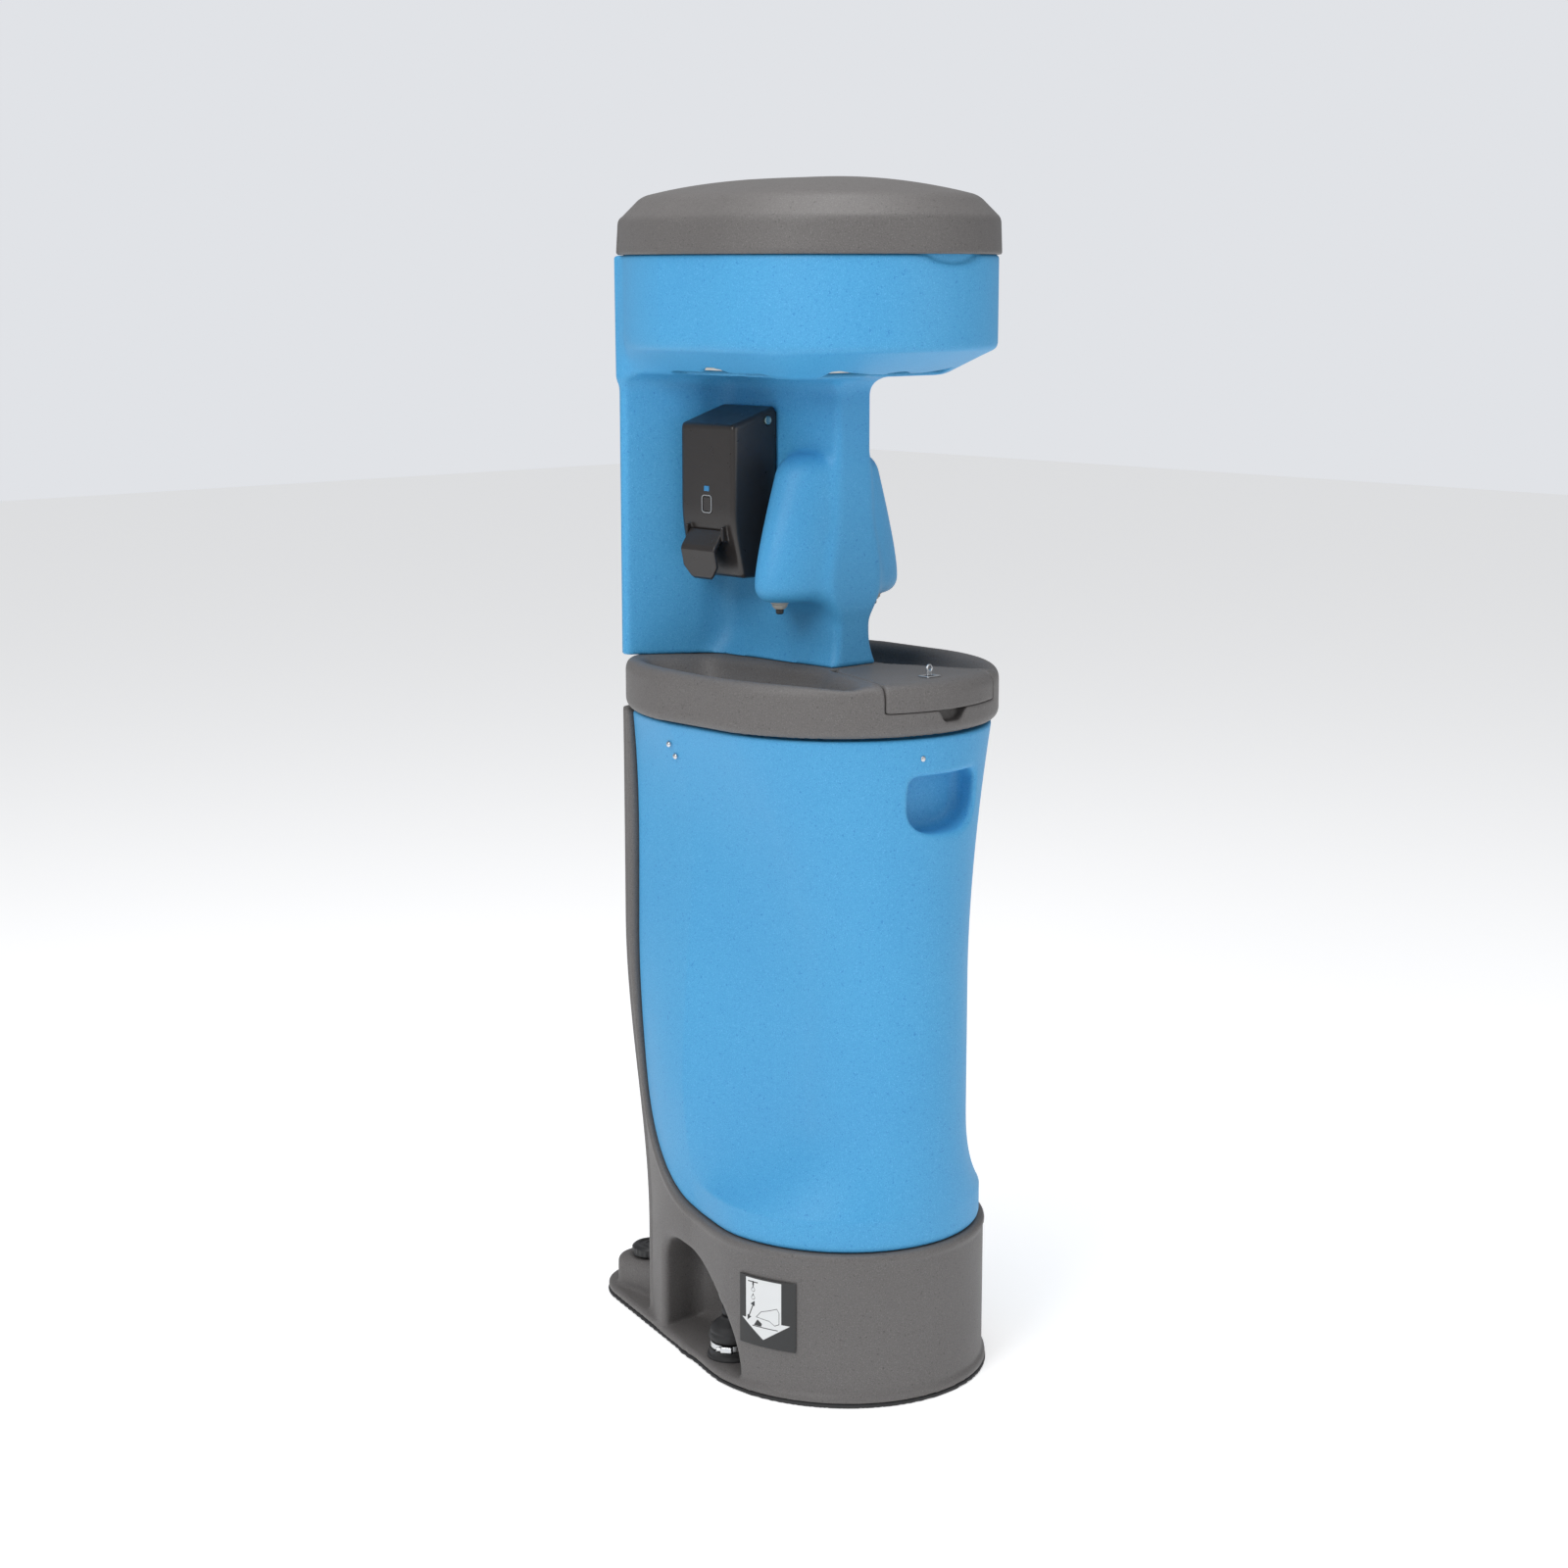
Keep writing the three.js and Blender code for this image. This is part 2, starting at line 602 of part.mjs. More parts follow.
for (const [side, s] of sides) {
  const at = station(s * DRAIN[0], DRAIN[1], 0);
  const low = SEAM_Z - 12;
  const pipe = cut(
    bar(DRAIN_RADIUS + 2, BOWL_FLOOR - 2 - low, "z", [0, 0, low]),
    bar(DRAIN_RADIUS, 800, "z", [0, 0, low - 20]),
  );
  add("drain_pipe_" + side, "hose", pipe, at);
  let strainer = turned([
    [0, BOWL_FLOOR + AIR],
    [DRAIN_RADIUS + 7, BOWL_FLOOR + AIR],
    [DRAIN_RADIUS + 6, BOWL_FLOOR + 2],
    [0, BOWL_FLOOR + 2.4],
  ]);
  for (let i = 0; i < 6; i++) {
    const a = (i * Math.PI) / 3;
    strainer = strainer.subtract(bar(3, 12, "z", [9 * Math.cos(a), 9 * Math.sin(a), BOWL_FLOOR - 2], 6));
  }
  add("drain_strainer_" + side, "steel", strainer, at);
}

// ---- Tower: back panel, column with the spout wings, towel housing ----

const TOWER_Z = [RIM_Z + AIR, HEAD_BOTTOM - AIR];
function panelPoints(inset) {
  const edge = BACK_HALF_HIGH + 1 - inset;
  const root = COLUMN_HALF + 18 - inset;
  const back = BASIN_BACK - inset;
  const front = PANEL_ROOT_Y + inset;
  return [
    [-edge + 10, back],
    [-edge, back - 5],
    [-edge, PANEL_EDGE_Y + 0.6 * inset],
    [-root, front],
    [root, front],
    [edge, PANEL_EDGE_Y + 0.6 * inset],
    [edge, back - 5],
    [edge - 10, back],
  ];
}
const hoseWindow = block([-24, 24], [PANEL_ROOT_Y - 20, PANEL_ROOT_Y + 20], [1040, 1160]);
let panel = prism(panelPoints(0), TOWER_Z);
panel = cut(panel, prism(panelPoints(5), [RIM_Z - 10, HEAD_BOTTOM - 8]), hoseWindow);
add("back_panel", "blue", panel);

// The column is a wall from the panel to its rounded front, spread at the foot.
function columnRing(z, inset, count) {
  const spread = ease((RIM_Z + 46 - z) / 46);
  const root = COLUMN_HALF + 18 * spread - inset;
  const nose = COLUMN_HALF + 9 * spread - inset;
  const front = COLUMN_FRONT - 4 * spread + inset;
  const r = 14;
  const path = new THREE.Path();
  path.moveTo(0, PANEL_ROOT_Y - AIR - 0.8 * inset);
  path.lineTo(-root, PANEL_ROOT_Y - AIR - 0.8 * inset);
  path.lineTo(-nose, front + r);
  path.quadraticCurveTo(-nose, front, -nose + r, front);
  path.lineTo(nose - r, front);
  path.quadraticCurveTo(nose, front, nose, front + r);
  path.lineTo(root, PANEL_ROOT_Y - AIR - 0.8 * inset);
  path.closePath();
  return { z, ring: path.getSpacedPoints(count).slice(0, count) };
}
const columnHeights = [TOWER_Z[0], RIM_Z + 16, RIM_Z + 32, RIM_Z + 46, TOWER_Z[1]];
const column = loft(columnHeights.map((z) => columnRing(z, 0, 32)));
const columnHollow = loft(
  [RIM_Z - 10, RIM_Z + 24, RIM_Z + 48, HEAD_BOTTOM - 8].map((z) => columnRing(z, 5, 16)),
);

// Half width and half thickness of the two wings together, by height.
const wingRows = [
  [1046, 58, 30],
  [1050, 88, 40],
  [1060, 113, 48],
  [1080, 122, 53],
  [1120, 110, 53],
  [1190, 84, 48],
  [1222, 70, 42],
  [1240, 52, 34],
  [1247, 34, 24],
];
const wings = (inset, count) =>
  loft(
    wingRows.map(([z, a, b], i) => ({
      z: z + (i < 2 ? inset : i > 6 ? -inset : 0),
      ring: new THREE.Path()
        .absellipse(0, WING_Y, a - inset, b - inset, Math.PI / 2, 2.5 * Math.PI, false)
        .getSpacedPoints(count)
        .slice(0, count),
    })),
  );
let spoutColumn = join(column, wings(0, 28));
spoutColumn = cut(spoutColumn, columnHollow, wings(5, 16), hoseWindow);
for (const [, s] of sides) {
  spoutColumn = cut(spoutColumn, bar(16, 20, "z", [s * SPOUT_X, WING_Y, SPOUT_SEAT - 20]));
  spoutColumn = cut(spoutColumn, bar(9, 20, "z", [s * SPOUT_X, WING_Y, SPOUT_SEAT - 4]));
}
add("spout_column", "blue", spoutColumn);

// The towel housing is open at the top, with a slot along each edge of its underside.
const undersidePlan = { ...headPlan, ...UNDERSIDE, wide: UNDERSIDE.half };
const headLoft = (rows, steps) =>
  loft(rows.map(([z, plan, grow]) => ({ z, ring: outline(plan, grow, steps) })));
let head = headLoft(
  [
    [HEAD_BOTTOM, undersidePlan, 0],
    [HEAD_EDGE, headPlan, 0],
    [HEAD_TOP, headPlan, 0],
  ],
  6,
);
head = head.add(planLoft(headPlan, [[HEAD_TOP - 6, -9], [HEAD_TOP + 12, -9]], 3));
head = head.subtract(
  headLoft(
    [
      [HEAD_BOTTOM + WALL, undersidePlan, -WALL],
      [HEAD_EDGE + 5, headPlan, -WALL],
      [HEAD_TOP - 10, headPlan, -WALL],
      [HEAD_TOP - 7, headPlan, -14],
      [HEAD_TOP + 30, headPlan, -14],
    ],
    3,
  ),
);
const slotY = UNDERSIDE.front + 8;
const slotX = UNDERSIDE.half - 4;
const slotZ = [HEAD_BOTTOM - 5, HEAD_BOTTOM + 30];
head = cut(head, block([-FRONT_SLOT_HALF, FRONT_SLOT_HALF], [slotY, slotY + SLOT_DEPTH], slotZ));
head = cut(head, bar(26, 50, "z", [0, slotY + 14, HEAD_BOTTOM - 20]));
for (const [, s] of sides) {
  const across = s > 0 ? [slotX - SLOT_DEPTH, slotX] : [-slotX, SLOT_DEPTH - slotX];
  head = cut(head, block(across, SIDE_SLOT, slotZ));
  head = cut(head, bar(26, 50, "z", [s * (slotX - 14), (SIDE_SLOT[0] + SIDE_SLOT[1]) / 2, HEAD_BOTTOM - 20]));
}
const scoop = new THREE.SphereGeometry(1, 16, 8).scale(66, 26, 20);
head = cut(head, solid(scoop.translate(0, headPlan.front - 16, HEAD_TOP + 4)));
const knuckle = (x0, x1, z0, z1, y0) =>
  join(
    bar(CAP_BARREL, x1 - x0, "x", [x0, ...CAP_AXIS]),
    block([x0, x1], [y0, CAP_AXIS[0]], [z0, z1]),
  );
for (const [, s] of sides) {
  const span = s > 0 ? [29, 58] : [-58, -29];
  head = head.add(knuckle(...span, CAP_AXIS[1] - CAP_BARREL, CAP_AXIS[1] + 4, BASIN_BACK - 3));
}
const capBore = bar(CAP_PIN + AIR, 140, "x", [-70, ...CAP_AXIS], 16);
head = head.subtract(capBore);
add("towel_housing", "blue", head);

// ---- Cap ----

// The cap's rows: height, growth of the plan, and the share of that outline kept as the dome closes.
const domeZ = (share, drop) => CROWN - drop - (CROWN - CAP_SHOULDER) * share ** 2;
const domeMiddle = new THREE.Vector2(0, 245);
const capLoft = (rows, steps) =>
  loft(
    rows.map(([z, grow, share]) => ({
      z,
      ring: outline(headPlan, grow, steps).map((p) => p.lerp(domeMiddle, 1 - share)),
    })),
  );
let lidCap = capLoft(
  [
    [HEAD_TOP + AIR, CAP_OVERHANG + 1, 1],
    [CAP_EDGE, CAP_OVERHANG - 1, 1],
    ...[1, 0.8, 0.5, 0.1].map((share) => [domeZ(share, 0), CAP_OVERHANG - 30, share]),
  ],
  6,
);
lidCap = lidCap.subtract(
  capLoft(
    [
      [HEAD_TOP - 1, -2, 1],
      [CAP_EDGE - 3, -4, 1],
      ...[1, 0.7, 0.1].map((share) => [domeZ(share, WALL), -31, share]),
    ],
    3,
  ),
);
lidCap = lidCap.add(knuckle(-28, 28, CAP_AXIS[1] - 1, HEAD_TOP + 8, BASIN_BACK + 2.3));
lidCap = lidCap.subtract(capBore);
add("cap_lid", "grey", lidCap);
add("cap_pin", "steel", bar(CAP_PIN, 128, "x", [-64, ...CAP_AXIS], 16));

// ---- Paper towels ----

const TOWEL = [64, 70]; // width and height of a folded stack
const towelZ = [HEAD_BOTTOM + WALL + AIR, HEAD_BOTTOM + WALL + TOWEL[1]];
add("towels_front", "paper", block([-104, 104], [slotY + 14, slotY + 14 + TOWEL[0]], towelZ));
for (const [side, s] of sides) {
  const x = [slotX - SLOT_DEPTH - TOWEL[0], slotX - SLOT_DEPTH].map((v) => s * v).sort((a, b) => a - b);
  add("towels_" + side, "paper", block(x, [SIDE_SLOT[0] + 30, SIDE_SLOT[1] + 6], towelZ));
}

// ---- Spouts ----

for (const [side, s] of sides) {
  const at = station(s * SPOUT_X, WING_Y, SPOUT_SEAT);
  add(
    "spout_collar_" + side,
    "collar",
    turned([
      [4, 16],
      [8.7, 16],
      [8.7, -AIR],
      [11.5, -AIR],
      [11.5, -6],
      [9.5, -7],
      [7.5, -12],
      [4, -12],
      [4, 16],
    ].reverse(), 14),
    at,
  );
  add(
    "spout_tip_" + side,
    "black",
    turned([
      [2, -12 - AIR],
      [5, -12 - AIR],
      [5, -18],
      [4, -19],
      [2, -19],
      [2, -12 - AIR],
    ].reverse(), 12),
    at,
  );
}

// ---- Soap dispensers ----

// Section of the cover in X (out from the column) and Z, with its sloped top and tapered foot.
function soapSection(inset) {
  const x0 = COLUMN_HALF + 6;
  return [
    [x0 - (inset ? 5 : 0), SOAP_Z[0] + inset],
    [SOAP_OUT - SOAP_TAPER - inset, SOAP_Z[0] + inset],
    [SOAP_OUT - inset, SOAP_TAPER_Z],
    [SOAP_OUT - inset, SOAP_Z[1] - SOAP_SLOPE - inset],
    [x0 - (inset ? 5 : 0), SOAP_Z[1] - inset],
  ];
}
function soapPrism(section, s, [y0, y1]) {
  const shape = new THREE.Shape(section.map(([x, z]) => new THREE.Vector2(s * x, z)));
  const g = new THREE.ExtrudeGeometry(shape, { depth: y1 - y0, bevelEnabled: false });
  return solid(g.rotateX(Math.PI / 2).translate(0, y1, 0));
}
for (const [side, s] of sides) {
  const flat = (x0, x1) => (s > 0 ? [x0, x1] : [-x1, -x0]);
  const inner = COLUMN_HALF + AIR;
  let back = block(flat(inner, inner + 5), [SOAP_Y[0] + 3, SOAP_Y[1] - 3], [SOAP_Z[0] + 12, SOAP_Z[1] - 6]);
  back = back.add(block(flat(inner, SOAP_VALVE_X + 14), [325, 373], [SOAP_SHELF_Z, SOAP_SHELF_Z + 3]));
  back = back.subtract(bar(9.4, 10, "z", [s * SOAP_VALVE_X, SOAP_VALVE_Y, SOAP_SHELF_Z - 2]));
  add("soap_back_" + side, "soapBlack", back);
  let cover = soapPrism(soapSection(0), s, SOAP_Y);
  const within = [SOAP_Y[0] + SOAP_WALL, SOAP_Y[1] - SOAP_WALL];
  cover = cover.subtract(soapPrism(soapSection(SOAP_WALL), s, within));
  const ears = [
    [SOAP_LEVER_Y[0] - 4, SOAP_LEVER_Y[0] - 0.5],
    [SOAP_LEVER_Y[1] + 0.5, SOAP_LEVER_Y[1] + 4],
  ];
  for (const ear of ears) {
    cover = cover.add(block(flat(SOAP_OUT - 5, SOAP_OUT + 6), ear, [1128, SOAP_TAPER_Z - 3]));
  }
  cover = cover.subtract(block(flat(56, 86), [332, 366], [SOAP_Z[0] - 5, SOAP_Z[0] + 5]));
  cover = cover.subtract(block(flat(SOAP_OUT - 8, SOAP_OUT + 4), [340, 358], [1166, 1186]));
  const lockAt = [s * 52, SOAP_Y[0], 1286];
  cover = cover.subtract(bar(6.3, 8, "y", [lockAt[0], lockAt[1] - 3, lockAt[2]]));
  add("soap_cover_" + side, "soapBlack", cover);
  add(
    "soap_window_" + side,
    "clear",
    block(flat(SOAP_OUT - SOAP_WALL, SOAP_OUT - 0.4), [340 + AIR, 358 - AIR], [1166 + AIR, 1186 - AIR]),
  );
  const lock = bar(6, 6, "y", [0, -2, 0]).subtract(block([-4, 4], [-3, -1], [-0.7, 0.7]));
  add("soap_lock_" + side, "steel", lock, station(...lockAt));

  // The push bar: a plate that slopes out from its pin and turns down in front of the cover.
  const lever = [
    [SOAP_OUT + 0.6, 1143],
    [SOAP_OUT + 16, 1122],
    [SOAP_OUT + 18, 1116],
    [SOAP_OUT + 10, 1080],
    [SOAP_OUT + 6, 1076],
    [SOAP_OUT + 6, 1081],
    [SOAP_OUT + 13, 1114],
    [SOAP_OUT + 0.6, 1134],
  ].reverse();
  add("soap_lever_" + side, "soapBlack", soapPrism(lever, s, SOAP_LEVER_Y));

  const pouch = new THREE.CapsuleGeometry(22, 104, 3, 10).rotateX(Math.PI / 2).scale(1, 1.5, 1);
  add("soap_pouch_" + side, "clear", solid(pouch.translate(s * 66, SOAP_VALVE_Y, 1190)));
  add(
    "soap_valve_" + side,
    "black",
    turned([
      [0, 0],
      [4, 0],
      [6, 14],
      [9, 16],
      [9, 34.7],
      [0, 34.7],
    ]),
    station(s * SOAP_VALVE_X, SOAP_VALVE_Y, SOAP_Z[0] + 2),
  );
}

// ---- Foot pumps ----

for (const [side, s] of sides) {
  const at = station(s * PUMP_X, PUMP_Y, PLATE_TOP + AIR);
  let base = turned([
    [0, 0],
    [34, 0],
    [34, 5],
    [31, 8],
    [31, 14],
    [0, 14],
  ]);
  for (const y of [12, 25.5]) base = base.add(bar(5, 34, "x", [s > 0 ? -48 : 14, y, 7], 10));
  add("pump_base_" + side, "rubber", base, at);
  const bellows = turned([
    [0, 14 + AIR],
    [27, 14 + AIR],
    [27, 24],
    [31, 27],
    [32, 34],
    [30, 42],
    [24, 50],
    [15, 56],
    [0, 58],
  ]);
  add("pump_bellows_" + side, "rubber", bellows, at);
  const band = cut(bar(30, 8, "z", [0, 0, 15], 20), bar(27.7, 20, "z", [0, 0, 10], 20));
  add("pump_clamp_" + side, "steel", band, at);
  const button = turned([
    [0, 58 + AIR],
    [11, 58 + AIR],
    [14, 63],
    [14, 69],
    [11, 74],
    [0, 75],
  ]);
  add("pump_button_" + side, "rubber", button, at);
}

// ---- Hoses ----

for (const [side, s] of sides) {
  add("supply_hose_" + side, "hose", hose(supplyRoute(s), HOSE_RADIUS, 40));
  add(
    "suction_hose_" + side,
    "hose",
    hose(
      [
        [s * 97.4, PUMP_Y + 25.5, PLATE_TOP + 7.6],
        [s * 90, PUMP_Y + 25.5, PLATE_TOP + 7.6],
        [s * 84, 322, 34],
        [s * SUCTION[0], SUCTION[1], 66],
        [s * SUCTION[0], SUCTION[1], 140],
        [s * SUCTION[0], SUCTION[1], 236],
      ],
      HOSE_RADIUS,
      14,
    ),
  );
}

// ---- Labels and rivets ----

const LABEL_Y = [112, 196];
const LABEL_Z = [72, 168];
for (const [side, s] of sides) {
  const skin = tankLoft(60, 190, LIP + 0.9, 16).subtract(tankLoft(50, 200, LIP + AIR, 16));
  const area = block(s > 0 ? [90, 260] : [-260, -90], LABEL_Y, LABEL_Z);
  add("pump_label_" + side, "label", skin.intersect(area));
}

// Where the fresh tank's wall stands at a height: its front at an X, or its side at a Y.
function wallFront(x, z) {
  const p = tankPlan(z);
  return p.front + p.nose * (1 - Math.sqrt(1 - (x / p.half) ** 2));
}
function wallSide(y, z) {
  const ring = outline(tankPlan(z), 0, 60).filter((p) => p.x > 0);
  const near = ring.reduce((a, b) => (Math.abs(b.y - y) < Math.abs(a.y - y) ? b : a));
  return near.x;
}
const RIVET = 4;
add("rivet_front", "steel", bar(RIVET, 3, "y", [-45, wallFront(45, 868) - 2.7, 868], 16));
for (const [side, s] of sides) {
  [
    [344, 862],
    [337, 846],
  ].forEach(([y, z], i) => {
    const x = wallSide(y, z) + 2.2;
    add("rivet_" + side + "_" + (i + 1), "steel", bar(RIVET, 3, "x", [s > 0 ? x : -x - 3, y, z], 16));
  });
}

export default sink;
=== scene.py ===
import math
import bpy
import numpy as np
from mathutils import Matrix, Vector


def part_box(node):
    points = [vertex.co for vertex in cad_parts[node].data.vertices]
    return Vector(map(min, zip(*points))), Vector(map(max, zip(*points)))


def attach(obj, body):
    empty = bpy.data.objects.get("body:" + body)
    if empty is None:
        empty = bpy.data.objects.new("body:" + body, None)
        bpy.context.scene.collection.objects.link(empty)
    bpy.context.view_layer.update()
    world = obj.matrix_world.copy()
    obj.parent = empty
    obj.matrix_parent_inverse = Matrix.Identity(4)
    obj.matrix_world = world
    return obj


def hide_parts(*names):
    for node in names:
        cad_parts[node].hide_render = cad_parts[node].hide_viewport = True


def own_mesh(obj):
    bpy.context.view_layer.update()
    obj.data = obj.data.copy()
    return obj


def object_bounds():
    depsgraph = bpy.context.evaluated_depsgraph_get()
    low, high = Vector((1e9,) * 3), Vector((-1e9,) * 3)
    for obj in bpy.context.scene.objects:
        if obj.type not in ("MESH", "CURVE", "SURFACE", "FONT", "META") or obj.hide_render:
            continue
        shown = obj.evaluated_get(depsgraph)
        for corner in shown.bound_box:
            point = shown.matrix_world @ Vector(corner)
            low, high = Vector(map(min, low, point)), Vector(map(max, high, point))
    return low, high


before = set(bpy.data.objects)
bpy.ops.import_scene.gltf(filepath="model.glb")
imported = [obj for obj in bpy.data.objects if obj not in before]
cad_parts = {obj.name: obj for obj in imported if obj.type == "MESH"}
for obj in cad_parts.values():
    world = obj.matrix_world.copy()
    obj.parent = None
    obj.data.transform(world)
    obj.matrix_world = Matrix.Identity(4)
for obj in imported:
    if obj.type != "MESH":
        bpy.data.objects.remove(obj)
cad_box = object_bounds()

# ---- Stage ----
# A flat white floor that glows faintly, a world that is brighter to the camera than in the light it gives,
# three large soft lamps, and a lens near eye height off the left front corner. Sizes here are metres.
low_corner, high_corner = (Vector(c) for c in cad_box)
stand_height = high_corner.z

view_angle = math.radians(-43)
view_distance = 3.73
eye_height = 1.48
look = Vector((-math.sin(view_angle), math.cos(view_angle), 0))
camera_data = bpy.data.cameras.new("camera")
camera_data.lens = 63.5
camera = bpy.data.objects.new("camera", camera_data)
camera.location = -view_distance * look + Vector((0, 0, eye_height))
aim = Vector((0, 0, 0.5 * stand_height - 0.012)) - camera.location
camera.rotation_euler = aim.to_track_quat("-Z", "Y").to_euler()
bpy.context.scene.collection.objects.link(camera)
bpy.context.scene.camera = camera


def soft_lamp(name, place, size, power):
    data = bpy.data.lights.new(name, "AREA")
    data.shape = "RECTANGLE"
    data.size, data.size_y = size
    data.energy = power
    lamp = bpy.data.objects.new(name, data)
    lamp.location = place
    lamp.rotation_euler = (Vector((0, 0, 0.75)) - lamp.location).to_track_quat("-Z", "Y").to_euler()
    bpy.context.scene.collection.objects.link(lamp)


soft_lamp("key_lamp", Vector((-3.6, -0.9, 3.2)), (2.0, 1.8), 72)
soft_lamp("front_lamp", Vector((1.2, -3.9, 2.0)), (2.2, 2.2), 24)
soft_lamp("top_lamp", Vector((-0.6, -0.4, 4.4)), (2.6, 2.6), 94)
world = bpy.data.worlds.new("studio")
world.use_nodes = True
world_tree = world.node_tree
world_light = world_tree.nodes["Background"]
world_light.inputs["Color"].default_value = (0.94, 0.96, 1.0, 1)
given_strength, more_to_camera = 0.36, 0.44
world_seen = world_tree.nodes.new("ShaderNodeMath")
world_seen.operation = "MULTIPLY_ADD"
world_seen.inputs[1].default_value = more_to_camera
world_seen.inputs[2].default_value = given_strength
seen_rays = world_tree.nodes.new("ShaderNodeLightPath")
world_tree.links.new(seen_rays.outputs["Is Camera Ray"], world_seen.inputs[0])
world_tree.links.new(world_seen.outputs[0], world_light.inputs["Strength"])
bpy.context.scene.world = world
bpy.context.scene.view_settings.view_transform = "Standard"
bpy.context.scene.view_settings.look = "None"

floor_mesh = bpy.data.meshes.new("studio_floor")
floor_reach = 14
floor_corners = [(floor_reach * x, floor_reach * y, 0) for x, y in ((-1, -1), (1, -1), (1, 1), (-1, 1))]
floor_mesh.from_pydata(floor_corners, [], [(0, 1, 2, 3)])
studio_floor = bpy.data.objects.new("studio_floor", floor_mesh)
bpy.context.scene.collection.objects.link(studio_floor)
floor_paint = bpy.data.materials.new("floor_paint")
floor_paint.use_nodes = True
floor_shader = floor_paint.node_tree.nodes["Principled BSDF"]
floor_shader.inputs["Base Color"].default_value = (0.93, 0.93, 0.93, 1)
floor_shader.inputs["Roughness"].default_value = 0.85
floor_shader.inputs["Emission Color"].default_value = (1, 1, 1, 1)
floor_shader.inputs["Emission Strength"].default_value = 0.4
floor_mesh.materials.append(floor_paint)

# ---- Waste tank ----
# The grey rotational moulding at the foot: a D-shaped tank with a foot arch on each side, a
# spine up the back, a plate that runs out into a tongue, and a drain box. It is one moulding, so every
# edge is round. Sizes are millimetres, and D is measured back from the front of the basin.
front_of_basin = low_corner.y
air = 0.3
lip = 8
plate_top = 16
seam_height = 210
seam_radius = 150
spine_front = 450
side_end = 330
tank_back = 472
tank_top_half, waist_half, skirt_half, rear_half = 204, 120, 188, 178
back_half_low, back_half_high = 116, 154
skirt_height, tank_top = 253, 904
basin_bottom, rim_height = 896, 966
arch_front, arch_back, arch_top, arch_crown, arch_inner = 203, 406, 158, 370, 75
plate_half, tongue_half, tongue_end, tongue_radius = 168, 93, 639, 34
anchor_x, anchor_d, anchor_radius = 42, 604, 6
drain_box_x, drain_box_front, drain_box_back, drain_box_top = (-86, -10), 430, 596, 64
waste_cap_x, waste_cap_d = sum(drain_box_x) / 2, drain_box_back - 44


def smooth_max(a, b, k):
    """The larger of two distances, with the corner between them rounded over about k."""
    h = np.maximum(k - np.abs(a - b), 0) / k
    return np.maximum(a, b) + 0.25 * k * h * h


def smooth_min(a, b, k):
    """The smaller of two distances, with the corner between them filled over about k."""
    return -smooth_max(-a, -b, k)


def ease(t):
    """A step from 0 to 1 with level ends."""
    t = np.clip(t, 0, 1)
    return t * t * (3 - 2 * t)


def plan(x, d, front, half, nose, wide, tail, back, corner=16):
    """Distance to the D-shaped outline, negative inside: a half ellipse in front, sides that ease from half
    to wide at side_end, cheeks along a parabola to tail, and a back with round corners."""
    side = np.abs(x)
    middle = front + nose
    k0 = np.hypot(side / half, (d - middle) / nose)
    k1 = np.hypot(side / half**2, (d - middle) / nose**2) + 1e-9
    nose_part = k0 * (k0 - 1) / k1
    s = np.clip((d - middle) / (side_end - middle), 0, 1)
    q = np.clip((d - side_end) / (back - 10 - side_end), 0, 1)
    t = (1.14 - np.sqrt(1.2996 - 0.56 * q)) / 0.28
    width = half + (wide - half) * s * s * (2.2 - 1.2 * s) - (wide - tail) * (0.34 * t + 0.66 * t * t)
    slope = np.where(s < 1, s * (4.4 - 3.6 * s), 0) * (wide - half) / (side_end - middle)
    cheek_slope = (wide - tail) * (0.34 + 1.32 * t) / (1.14 - 0.28 * t) / (back - side_end)
    slope = slope - np.where(q > 0, cheek_slope, 0)
    side_part = (side - width) / np.sqrt(1 + slope * slope)
    return smooth_max(np.where(d < middle, nose_part, side_part), d - back, corner)


def tank(x, d, z):
    """Distance to the fresh tank's wall: the plan for each height, waisted between a flared top and a foot
    that widens down to the seam."""
    flare = np.clip((z - 560) / (tank_top - 560), 0, 1) ** 1.8
    foot = np.clip((375 - z) / (375 - skirt_height), 0, 1) ** 2.4
    half = waist_half + (tank_top_half - waist_half) * flare + (skirt_half - waist_half) * foot
    rear_flare = np.clip((z - 730) / (tank_top - 730), 0, 1) ** 2
    slim = 18 * np.where(z < 400, ease((400 - z) / 190), ease(np.abs(z - 400) / 330))
    wide = rear_half - slim + (tank_top_half - rear_half + 18) * rear_flare
    tail = back_half_low + (back_half_high - back_half_low) * ease((z - 150) / 450)
    return plan(x, d, 14 - 10 * flare - 2 * foot, half, 1.06 * half, wide, tail, tank_back)


def fresh_side(d, z):
    """Distance to the fresh tank's side outline: above the seam and in front of the spine, with a round
    corner between them."""
    back = d - (spine_front - seam_radius)
    down = seam_height + seam_radius - z
    both = np.hypot(np.maximum(back, 0), np.maximum(down, 0))
    return np.where((back > 0) & (down > 0), both, np.maximum(back, down)) - seam_radius


def arch(x, d, z):
    """Distance to a foot arch: a quarter ellipse in front of the crown, an upright back, and a flat inner
    wall."""
    run, rise = arch_crown - arch_front, arch_top - plate_top
    k0 = np.hypot((d - arch_crown) / run, (z - plate_top) / rise)
    k1 = np.hypot((d - arch_crown) / run**2, (z - plate_top) / rise**2) + 1e-9
    front_part = k0 * (k0 - 1) / k1
    rear_part = smooth_max(z - arch_top, d - arch_back, 46)
    mouth = np.where(d < arch_crown, front_part, rear_part)
    return smooth_max(smooth_max(mouth, plate_top - z, 2), arch_inner - np.abs(x), 30)


